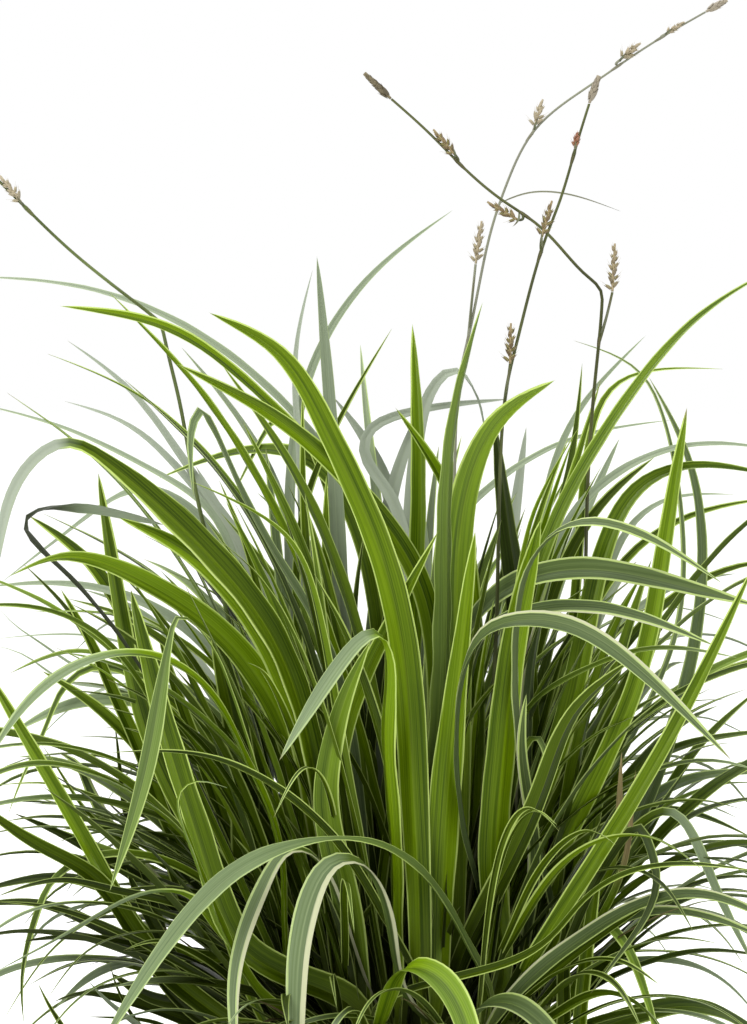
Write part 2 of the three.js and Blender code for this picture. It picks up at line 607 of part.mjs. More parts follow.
/** The shoots that a drawn leaf may grow from, best first: near its foot, and with few leaves so far. */
function shootsFor(drawn, depth, shoots) {
  const [x, height] = drawn[0];
  const foot = x * (height > SEARCH.highUp ? SEARCH.inwardHigh : SEARCH.inwardLow);
  const footDepth = THREE.MathUtils.clamp(depth * SEARCH.depthShare, -SEARCH.deepest, SEARCH.deepest);
  const cost = (shoot) => {
    const crowded = Math.max(0, shoot.leaves.length - SEARCH.freeLeaves);
    const aside = Math.abs(shoot.foot.x - foot) + SEARCH.depthCost * Math.abs(shoot.foot.y - footDepth);
    return aside + SEARCH.leafCost * crowded;
  };
  return [...shoots].sort((a, b) => cost(a) - cost(b)).slice(0, SEARCH.shoots);
}

/** A drawn leaf's stations on a shoot, wide enough to show the drawn width where it is turned aside. */
function drawnStations(shoot, drawn, width, tipDepth, turn, { shrink, ease }) {
  const route = drawnRoute(shoot, drawn, tipDepth, ease);
  const bendNormal = bendNormalOf(route);
  const sideways = bendNormal.y * Math.abs(bendNormal.y);
  const footTurn = Math.sign(turn) * Math.max(FOOT_TURN, Math.abs(turn));
  const tipTurn = turn * Math.sign(sideways);
  const turns = [tipTurn + (footTurn - turn) * sideways, tipTurn];
  const shown = shownShare(leafStations(route, width, bendNormal, turns));
  const fullWidth = (width * shrink) / THREE.MathUtils.clamp(shown, SEARCH.leastShown, 1);
  return leafStations(route, Math.max(SEARCH.narrowest, fullWidth), bendNormal, turns);
}

/** Finds a shoot, a depth and a bend for a drawn leaf so that it crosses nothing. */
function placeDrawnLeaf([width, depth, tilt, ...numbers], shoots, draw) {
  const drawn = pairs(numbers);
  const near = shootsFor(drawn, depth, shoots);
  const turn = THREE.MathUtils.degToRad(tilt) + draw(-SEARCH.swing, SEARCH.swing);
  for (const shrink of SEARCH.shrinks) {
    for (const change of SEARCH.depths) {
      for (const shoot of near) {
        if (shoot.leaves.length > SEARCH.mostLeaves) continue;
        for (const ease of SEARCH.eases) {
          const stations = drawnStations(shoot, drawn, width, depth + change, turn, { shrink, ease });
          if (placeLeaf(shoot, stations)) return true;
        }
      }
    }
  }
  return false;
}

/**
 * A free leaf: it leaves the shoot at a small angle to the upright and bends over more and more towards its
 * tip, while its heading drifts a little.
 */
function freeLeaf(shoot, draw) {
  const edge = Math.hypot(shoot.foot.x, shoot.foot.y) / CLUMP_RADIUS;
  const spread = mix(...FREE.spread, edge);
  const azimuth = Math.atan2(shoot.foot.y, shoot.foot.x) + draw(-spread, spread);
  const habit = draw(0, 1) + FREE.edgeHabit * edge;
  const toFront = Math.max(0, -Math.sin(azimuth));
  const kind = habit < FREE.uprightBelow ? FREE.upright : FREE.arching;
  const low = habit > FREE.lowAbove;
  let length = draw(...kind.length);
  if (low) length = draw(...FREE.low.length);
  length *= 1 - FREE.frontShorter * toFront ** 2;
  let lean = draw(...kind.lean);
  if (low) lean = draw(...FREE.low.lean);
  const bend = draw(...kind.bend);
  const drift = draw(-FREE.drift, FREE.drift);
  const power = draw(...FREE.power);
  const width = draw(...FREE.width) * (low ? FREE.lowWidth : 1);
  const heading = vector(Math.cos(azimuth), Math.sin(azimuth), 0);
  const neck = SHEATH.height * shoot.scale;
  const [height, offset] = low ? [FREE.lowStart, START.lowOffset] : [neck - START.sunk, START.offset];
  const point = onShoot(shoot, height, heading, offset);
  const route = [point.clone()];
  const steps = 9;
  for (let i = 0; i < steps; i += 1) {
    const share = (i + 0.5) / steps;
    const tilt = lean + bend * share ** power;
    const turn = azimuth + drift * share * share;
    const flat = Math.sin(tilt);
    const step = vector(flat * Math.cos(turn), flat * Math.sin(turn), Math.cos(tilt));
    point.addScaledVector(step, length / steps);
    route.push(point.clone());
  }
  const tipTurn = draw(-FREE.tipTurn, FREE.tipTurn);
  const footTurn = tipTurn + draw(-FREE.footTurn, FREE.footTurn);
  return leafStations(route, width, bendNormalOf(route), [footTurn, tipTurn]);
}

// ---------------------------------------------------------------- shoots

/** Stations of a shoot's sheath, grown by a margin for the hole that it stands in. */
function sheathStations(shoot, margin = 0) {
  const heights = margin ? [-SHEATH.buried - margin, 14] : [-SHEATH.buried, 10, SHEATH.height * shoot.scale];
  const radii = margin ? [SHEATH.radius, SHEATH.radius] : [SHEATH.radius, SHEATH.radius, SHEATH.neck];
  const points = heights.map((height) => onShoot(shoot, height, UP, 0));
  const stations = stationsOn(points, vector(Math.cos(shoot.turn), Math.sin(shoot.turn), 0), () => 0);
  stations.forEach((station, i) => {
    station.half = radii[i] + margin;
    station.deep = radii[i] + margin;
    station.corners = ringCorners({ ...station, half: radii[i] * 1.15, deep: radii[i] });
  });
  return stations;
}

/** Shoots on a sunflower spiral, leaning out towards the clump's edge. */
function makeShoots(draw) {
  return Array.from({ length: SHOOT_COUNT }, (_, k) => {
    const radius = CLUMP_RADIUS * Math.sqrt((k + 0.5) / SHOOT_COUNT);
    const angle = k * GOLDEN_ANGLE + 0.9;
    const foot = vector(radius * Math.cos(angle), radius * Math.sin(angle), SOIL_TOP);
    const lean = vector(foot.x, foot.y, 0).multiplyScalar(CLUMP_LEAN / CLUMP_RADIUS);
    return { foot, lean, turn: draw(0, Math.PI), scale: draw(0.85, 1.15), leaves: [] };
  });
}

/** A shoot in one piece: its sheath with every leaf that grows from it. */
function shootBody(shoot) {
  const sheath = solid(skin(SHEATH.sides, sheathStations(shoot)));
  return shoot.leaves.reduce((body, stations) => body.add(leafSolid(stations)), sheath);
}

// ---------------------------------------------------------------- culms and spikes

const CULM = { foot: 1.5, top: 0.85, sides: 3, buried: 10, height: 465, sway: 1.7 };
const STALK = 0.55;
const BRACT = { width: 2, turn: -1 }; // the turn is in radians
const FLORET = {
  seed: { length: 4.4, half: 1, lift: 0.62, core: 0.8, pitch: 1.95 },
  pollen: { length: 5, half: 0.95, lift: 0.2, core: 1, pitch: 2.3 },
};

/** A round or three-cornered rod along points, with its radius running from one value to another. */
function rodStations(points, from, to) {
  const stations = stationsOn(points, TO_FRONT, () => 0.4);
  stations.forEach((station, i) => {
    const radius = mix(from, to, i / (points.length - 1));
    station.half = radius;
    station.deep = radius;
    station.corners = ringCorners(station);
  });
  return stations;
}

/** The place on or near a culm that the eye sees at x, z: it leans more and more towards its top's depth. */
function nearCulm(culm, x, z, aside = 0) {
  return seen(x, z, mix(culm.root[1], culm.depth, (Math.max(z, 0) / CULM.height) ** CULM.sway) + aside);
}

/** A culm's points: from its place in the soil and along its route. */
function culmPoints(culm) {
  const [x, y] = culm.root;
  const root = vector(x, y, SOIL_TOP - CULM.buried);
  const low = vector(x * 1.06, y * 1.06, SOIL_TOP + 30);
  const route = pairs(culm.route).map(([px, pz]) => nearCulm(culm, px, pz));
  const curve = new THREE.CatmullRomCurve3([root, low, ...route], false, 'centripetal');
  return spacedPoints(curve, 46, 60, 8, 14);
}

/** A spike's core and florets: scales set on a spiral, each leaning out and pointing to the tip. */
function spikeBody(from, to, kind) {
  const { length, half, lift, core, pitch } = FLORET[kind];
  const axis = to.clone().sub(from);
  const reach = axis.length();
  axis.normalize();
  const corePoints = [0, 0.3, 0.93].map((share) => from.clone().lerp(to, share));
  const coreStations = rodStations(corePoints, STALK, core * 0.7);
  coreStations[1].half = core;
  coreStations[1].deep = core;
  let body = solid(skin(4, coreStations));
  const side = TO_FRONT.clone().cross(axis).normalize();
  const front = axis.clone().cross(side);
  const room = reach - length * 0.75;
  const count = Math.max(7, Math.round(room / pitch) + 2);
  for (let i = 0; i < count; i += 1) {
    const share = i / (count - 1);
    const angle = i * GOLDEN_ANGLE;
    const out = side.clone().multiplyScalar(Math.cos(angle)).addScaledVector(front, Math.sin(angle));
    const leanOut = lift * (1 - 0.65 * share);
    const along = axis.clone().multiplyScalar(Math.cos(leanOut)).addScaledVector(out, Math.sin(leanOut));
    const size = mix(0.8, 1, Math.sin(Math.PI * Math.min(1, share + 0.25))) * mix(1, 0.8, share);
    const start = from.clone().addScaledVector(axis, 1 + room * share * 0.94);
    start.addScaledVector(out, core * 0.35);
    const aside = out.clone().cross(along).normalize();
    const turn = new THREE.Matrix4().makeBasis(aside, along, aside.clone().cross(along));
    const floret = new THREE.SphereGeometry(1, 3, 2).translate(0, 1, 0).scale(half, length / 2, half * 0.8);
    floret.scale(size, size, size).applyMatrix4(turn).translate(start.x, start.y, start.z);
    body = body.add(solid(floret));
  }
  return body;
}

/** The two ends of a spike, a gap beyond the end of what carries it. */
function spikeEnds(culm, spike) {
  const [from, to] = pairs(spike.route).map(([x, z]) => nearCulm(culm, x, z, spike.aside));
  from.addScaledVector(to.clone().sub(from).normalize(), GAP);
  return { from, to };
}

/** A culm with the stalks of its spikes, and the narrow bract where it has one. */
function culmBody(culm, stations) {
  let body = solid(skin(CULM.sides, stations));
  for (const spike of culm.spikes.filter((each) => each.off)) {
    const { from, to } = spikeEnds(culm, spike);
    const end = from.clone().addScaledVector(to.clone().sub(from).normalize(), -GAP);
    const start = nearCulm(culm, ...spike.off);
    const bow = start.clone().lerp(end, 0.55).addScaledVector(to.clone().sub(end).normalize(), -1.2);
    const curve = new THREE.CatmullRomCurve3([start, bow, end, to], false, 'centripetal');
    const points = [0, 1 / 3, 2 / 3].map((share) => curve.getPoint(share));
    body = body.add(solid(skin(4, rodStations(points, STALK * 1.2, STALK))));
  }
  if (culm.bract) {
    const route = pairs(culm.bract).map(([x, z], i) => nearCulm(culm, x, z, 4 * i));
    body = body.add(leafSolid(leafStations(route, BRACT.width, TO_FRONT, [BRACT.turn, BRACT.turn])));
  }
  return body;
}

// ---------------------------------------------------------------- pot and soil

/** A closed solid turned round the upright axis from radius, height pairs that start and end on the axis. */
function turned(profile, sides) {
  const geometry = new THREE.LatheGeometry(profile.map(([r, z]) => new THREE.Vector2(r, z)), sides);
  return geometry.rotateX(Math.PI / 2);
}

/** The pot: a flat base with drain holes, a tapered wall, and a thicker band under a rounded rim. */
function potBody() {
  const bandFoot = POT_HEIGHT - BAND_HEIGHT;
  const under = mix(POT_BASE, POT_RIM - BAND_STEP, bandFoot / POT_HEIGHT);
  const profile = [
    [0, 0],
    [POT_BASE - 4, 0],
    [POT_BASE - 1, 1.2],
    [POT_BASE, 4],
    [under, bandFoot],
    [POT_RIM - 1.2, bandFoot + 1.6],
    [POT_RIM, POT_HEIGHT - 1.4],
    [POT_RIM - 1.2, POT_HEIGHT],
    [POT_RIM - POT_WALL, POT_HEIGHT],
    [POT_RIM - POT_WALL - 1, POT_HEIGHT - 1.4],
    [POT_RIM - POT_WALL - 2, bandFoot + 2.5],
    [under - POT_WALL, bandFoot - 1.5],
    [POT_BASE - POT_WALL + 0.6, POT_FLOOR + 3],
    [POT_BASE - POT_WALL - 3, POT_FLOOR],
    [0, POT_FLOOR],
  ];
  let body = solid(turned(profile, POT_SIDES));
  for (let i = 0; i < DRAIN.count; i += 1) {
    const hole = new THREE.CylinderGeometry(DRAIN.radius, DRAIN.radius, 4 * POT_FLOOR, 10);
    hole.rotateX(Math.PI / 2);
    const angle = (i / DRAIN.count) * 2 * Math.PI;
    hole.translate(DRAIN.circle * Math.cos(angle), DRAIN.circle * Math.sin(angle), 0);
    body = body.subtract(solid(hole));
  }
  return body;
}

/** Height of the soil's surface: a low dome with soft lumps. */
function soilHeight(x, y) {
  const dome = 2.5 * Math.cos((Math.hypot(x, y) / POT_RIM) * 2.2);
  const lumps = 0.9 * Math.sin(x * 0.13 + 1) * Math.cos(y * 0.11) + 0.7 * Math.sin(x * 0.07 - y * 0.19);
  return SOIL_TOP - 1.6 + dome + lumps;
}

/** The soil: it fills the pot, with a plain hole for each shoot and culm. */
function soilBody(shoots, culms) {
  const inner = (z) => {
    const share = z / POT_HEIGHT;
    return mix(POT_BASE, POT_RIM - BAND_STEP, share) - POT_WALL - 1.2;
  };
  const low = POT_FLOOR + GAP;
  const edge = inner(SOIL_TOP - 12);
  const top = [1, 0.6, 0].map((share) => [share * edge, SOIL_TOP]);
  const side = [[0, low], [inner(low) - 3.4, low], [inner(low + 4), low + 4], [edge, SOIL_TOP - 8]];
  const geometry = turned([...side, ...top], SOIL_SIDES);
  const position = geometry.getAttribute('position');
  for (let i = 0; i < position.count; i += 1) {
    if (position.getZ(i) === SOIL_TOP) position.setZ(i, soilHeight(position.getX(i), position.getY(i)));
  }
  let body = solid(geometry);
  for (const shoot of shoots) body = body.subtract(solid(skin(SHEATH.sides, sheathStations(shoot, GAP))));
  for (const stations of culms) {
    const { point: foot, along } = stations[0];
    const ends = [-GAP, CULM.buried + 12].map((length) => foot.clone().addScaledVector(along, length));
    const wide = CULM.foot + GAP * 2;
    body = body.subtract(solid(skin(6, rodStations(ends, wide, wide))));
  }
  return body;
}

// ---------------------------------------------------------------- the plant

const materials = {
  leaf: new THREE.MeshStandardMaterial({ color: 0x5f8f35, roughness: 0.42, metalness: 0 }),
  culm: new THREE.MeshStandardMaterial({ color: 0x6c7448, roughness: 0.5, metalness: 0 }),
  seed: new THREE.MeshStandardMaterial({ color: 0xa8834f, roughness: 0.7, metalness: 0 }),
  pollen: new THREE.MeshStandardMaterial({ color: 0x6b4a33, roughness: 0.7, metalness: 0 }),
  soil: new THREE.MeshStandardMaterial({ color: 0x2e221a, roughness: 0.95, metalness: 0 }),
  pot: new THREE.MeshStandardMaterial({ color: 0x2b2c2e, roughness: 0.55, metalness: 0 }),
};

const draw = draws(41);
const plant = new THREE.Group();
const shoots = makeShoots(draw);
const culmStations = CULMS.map((culm) => rodStations(culmPoints(culm), CULM.foot, CULM.top));

plant.add(piece('pot', potBody(), materials.pot));
plant.add(piece('soil', soilBody(shoots, culmStations), materials.soil));

CULMS.forEach((culm, i) => {
  taken.push(roomOf(culmStations[i], culm, CULM_CLEARANCE));
  plant.add(piece(`culm_${culm.name}`, culmBody(culm, culmStations[i]), materials.culm));
  culm.spikes.forEach((spike, k) => {
    const { from, to } = spikeEnds(culm, spike);
    taken.push(roomOf(rodStations([from, to], SPIKE_ROOM, SPIKE_ROOM), culm, CULM_CLEARANCE));
    const body = spikeBody(from, to, spike.kind);
    plant.add(piece(`spike_${culm.name}_${k + 1}`, body, materials[spike.kind]));
  });
});

for (const shoot of shoots) {
  taken.push({ ...roomOf(sheathStations(shoot), shoot, SHEATH_CLEARANCE), trunk: true });
}
for (const leaf of DRAWN_LEAVES) placeDrawnLeaf(leaf, shoots, draw);
let placed = shoots.reduce((sum, shoot) => sum + shoot.leaves.length, 0);
for (let tries = 0; placed < LEAF_COUNT && tries < 8000; tries += 1) {
  const barest = [...shoots].sort((a, b) => a.leaves.length - b.leaves.length);
  const shoot = barest[Math.floor(draw(0, 12))];
  if (placeLeaf(shoot, freeLeaf(shoot, draw))) placed += 1;
}

shoots.forEach((shoot, i) => {
  plant.add(piece(`shoot_${String(i + 1).padStart(2, '0')}`, shootBody(shoot), materials.leaf));
});

export default plant;
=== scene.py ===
"""A variegated carex sedge in a growers' pot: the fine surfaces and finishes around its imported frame.

Metres, +Z up, front towards -Y. Every piece takes its place from the frame's nodes or from the sizes named here.
"""

import math

import bpy
import numpy as np
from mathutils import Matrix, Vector
from mathutils.kdtree import KDTree


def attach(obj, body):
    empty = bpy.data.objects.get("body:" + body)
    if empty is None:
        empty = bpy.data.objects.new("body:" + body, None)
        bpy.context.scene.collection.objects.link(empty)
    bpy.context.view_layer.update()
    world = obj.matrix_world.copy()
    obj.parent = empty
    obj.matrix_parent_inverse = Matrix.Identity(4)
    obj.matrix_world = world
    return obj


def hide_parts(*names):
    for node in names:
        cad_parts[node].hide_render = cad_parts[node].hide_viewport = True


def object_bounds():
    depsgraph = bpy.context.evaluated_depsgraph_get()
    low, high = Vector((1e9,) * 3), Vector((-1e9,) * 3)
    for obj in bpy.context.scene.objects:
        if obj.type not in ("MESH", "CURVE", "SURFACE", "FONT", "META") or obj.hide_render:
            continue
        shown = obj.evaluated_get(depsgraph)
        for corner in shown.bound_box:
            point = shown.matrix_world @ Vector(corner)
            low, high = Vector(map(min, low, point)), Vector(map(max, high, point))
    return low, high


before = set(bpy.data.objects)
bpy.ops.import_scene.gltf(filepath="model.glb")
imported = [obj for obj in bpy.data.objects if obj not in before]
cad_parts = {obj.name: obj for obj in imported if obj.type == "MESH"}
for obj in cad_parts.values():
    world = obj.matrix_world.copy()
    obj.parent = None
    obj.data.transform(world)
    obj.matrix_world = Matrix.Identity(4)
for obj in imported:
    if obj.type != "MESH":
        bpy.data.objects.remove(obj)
cad_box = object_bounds()

# ---------------------------------------------------------------- sizes

MM = 0.001
UP = np.array([0.0, 0.0, 1.0])
TO_FRONT = np.array([0.0, -1.0, 0.0])
GOLDEN_ANGLE = math.pi * (3 - math.sqrt(5))

POT_HEIGHT = 150 * MM
POT_RIM = 92 * MM
POT_BASE = 66 * MM
POT_WALL = 2.6 * MM
POT_FLOOR = 3.2 * MM
BAND_HEIGHT = 17 * MM
BAND_STEP = 2.6 * MM
DRAIN_COUNT = 6
DRAIN_RADIUS = 4.5 * MM
DRAIN_CIRCLE = 42 * MM

SOIL_TOP = 138 * MM
CRUMB_COUNT = 520
SHOOT_COUNT = 32
LEAF_SEED = 11
SOIL_SEED = 5
CLUMP_RADIUS = 50 * MM
CLUMP_LEAN = 0.22
SHEATH_RADIUS = 4.3 * MM
SHEATH_NECK = 3.9 * MM
SHEATH_HEIGHT = 34 * MM
SHEATH_BURIED = 12 * MM
NECK_DROP = 5 * MM  # how far below its neck a shoot's inner blades start
LOW_START = 8 * MM  # height over the soil at which its outer blades start

BLADE_STATIONS = 22  # at least, and one more for each of the next
BLADE_STEP = 9 * MM
BLADE_THICK = 0.42 * MM  # at the middle of a blade
BLADE_EDGE = 0.12 * MM
BLADE_KEEL = 0.3 * MM
THINNEST = 0.05 * MM  # half width of a blade at its tip
CROWDED = 0.94  # power that spaces a blade's stations, a little closer towards its tip
BROAD = 1.25  # fullness over which a blade is blunt and leant towards the eye
PATH_STEPS = 400

# The plant is looked at from this eye, and its flower stems are laid out as it sees them.
EYE_DISTANCE = 1.9
EYE_ELEVATION = math.radians(4)
EYE_X = -15.7 * MM
EYE_Z = 248.5 * MM  # over the soil
VIEW_HEIGHT = 440.3 * MM  # what the camera takes in at the plant's axis
AHEAD = np.array([0, math.cos(EYE_ELEVATION), -math.sin(EYE_ELEVATION)])
ABOVE = np.array([0, math.sin(EYE_ELEVATION), math.cos(EYE_ELEVATION)])
EYE = np.array([EYE_X, 0, EYE_Z + SOIL_TOP]) - EYE_DISTANCE * AHEAD

# Finishes of the blades that show most: the tip's x, z as the eye sees it, in mm from the axis and the soil, how full
# the blade is beside its CAD solid and, where it twists, how full before, at and after the top of its arch and near its
# tip.
TIP_REACH = 3  # mm within which a tip is a listed one
TIP_FINISHES = {
    "silvered": [(-178, 222, 1.8, (1, 0.42, 0.36, 1))],
    "ashen": [(-135, 15, 0.85, (0.72, 0.3, 1, 1)), (31, 338, 1.25, (1, 1, 1, 0.8))],
    "turned": [(-184, 138, 0.62), (-56, 142, 0.9), (-178, 51, 1.0), (-79, 130, 0.9)],
    "creamy": [(-47, -10, 1.25, (0.8, 0.8, 0.9, 1)), (-74, 5, 0.8)],
    "olive": [(-129, 86, 0.7, (0.45, 0.35, 0.55, 3.2))],
    "striped": [(150, 208, 1.05), (131, 191, 0.95), (138, 142, 1.0), (134, 218, 1.1), (160, 62, 1.1),
        (165, 68, 1.1), (62, 225, 1.1)],
    "rich": [(165, 262, 1.25), (12, 240, 1.0), (-150, 337, 1.6, (1, 1, 1, 0.9)), (-86, 334, 1.75), (-100, 312, 1.4),
        (-185, 185, 1.4), (72, 284, 1.15), (148, 226, 0.85)],
    "grey": [(-195, 350, 0.8, (1, 1, 1, 1.5)), (-98, 319, 1.2), (-190, 296, 0.8), (101, 324, 1.1), (18, 378, 1.2),
        (112, 288, 1.0), (-40, 358, 1.3), (139, 256, 1.0), (-176, 218, 1.2), (-185, 216, 1.2), (165, 274, 1.1)],
    "pale": [(-147, 322, 1.2), (-148, 296, 1.2), (33, 278, 1.3), (42, 297, 1.3), (-33, 298, 1.2), (8, 300, 1.3),
        (-42, 352, 1.0)],
    "bluish": [(71, 322, 0.65), (103, 306, 1.2), (165, 136, 1.0), (-93, 255, 1.0)],
    "mid": [(134, 310, 1.0), (-108, 263, 2.2), (-198, 125, 1.0), (108, 200, 1.3), (-120, 215, 1.35),
        (-134, 265, 2.2), (-164, 247, 1.9), (127, 94, 0.65), (-70, 184, 0.7)],
    "dark": [(-8, 327, 1.0), (-85, 200, 1.3), (95, 185, 1.3), (-195, 130, 1.25), (148, 108, 1.2), (63, 114, 0.6),
        (64, 111, 0.6), (88, 106, 0.65), (107, 45, 0.7), (133, 63, 0.7), (150, 94, 0.7), (-128, 145, 0.7),
        (-59, 117, 0.7), (-24, 68, 0.7)],
    "greyleaf": [(-172, 153, 1.6, (0.7, 1, 1.1, 1))],
    "bright": [(28, 240, 1.55, (1, 1, 1, 0.6)), (56, 245, 1.3), (-125, 246, 1.5), (-172, 221, 1.65), (1, 329, 1.55),
        (-6, 293, 1.4), (119, 293, 1.4), (78, 110, 1.2), (30, -15, 0.85), (70, 280, 1.1)],
    "lime": [(62, 305, 1.7), (158, 354, 1.05)],
    "rimmed": [(75, 5, 0.8)],
    "black": [(36, 290, 1.2), (-195, 78, 1.4), (-190, 84, 1.4), (-153, 38, 1.2), (-166, 226, 1.2)],
    "folded": [(-106, 243, 1.3, (0.6, 0.8, 1.1, 2.4))],
    "faded": [(-164, 116, 1.2)],
}

# A finish: brightness of the green, waxy bloom, paleness, the light margin's width in mm, painted shade, and how
# strongly the blade turns its waxy side out past the top of its arch. The painted shade darkens blades that stand in
# the clump's shadow, most in the dark, black and folded finishes. The paleness of the pale and grey finishes is a
# painted haze on blades at the back. Past the arch the turn adds bloom and paleness that are partly the waxy upper face
# and partly a painted sheen of the light from above.
SHADE = 4  # its place in a finish
FINISHES = {
    "bright": (0.95, 0.0, 0.0, 0.5, 0.0, 0),
    "lime": (1.2, 0.0, 0.05, 0.55, 0.0, 0),
    "rich": (0.7, 0.0, 0.0, 0.45, 0.04, 0),
    "mid": (0.45, 0.0, 0.0, 0.45, 0.1, 0),
    "dark": (0.2, 0.0, 0.0, 0.4, 0.2, 0),
    "black": (0.1, 0.05, 0.0, 0.3, 0.55, 0),
    "faded": (0.75, 0.12, 0.0, 0.4, 0.08, 0),
    "olive": (0.65, 0.12, 0.0, 0.35, 0.2, 0.1),
    "turned": (0.8, 0.0, 0.0, 0.5, 0.0, 1),
    "silvered": (0.35, 0.0, 0.0, 0.6, 0.0, 2.6),
    "folded": (0.05, 0.0, 0.0, 0.1, 0.95, 2),
    "ashen": (0.6, 0.28, 0.0, 0.4, 0.03, 0.5),
    "bluish": (0.3, 0.6, 0.05, 0.5, 0.1, 0),
    "striped": (0.1, 0.35, 0.0, 0.9, 0.1, 0),
    "creamy": (0.2, 0.15, 0.0, 1.6, 0.05, 0.45),
    "rimmed": (0.15, 0.3, 0.0, 0.9, 0.2, 0),
    "greyleaf": (0.6, 0.5, 0.05, 0.5, 0.0, 1),
    "grey": (0.3, 0.9, 0.5, 0.2, 0.0, 0),
    "pale": (0.4, 0.8, 1.0, 0.1, 0.0, 0),
    "straw": (0.4, 0.0, 0.0, 0.1, 0.0, 0),
}

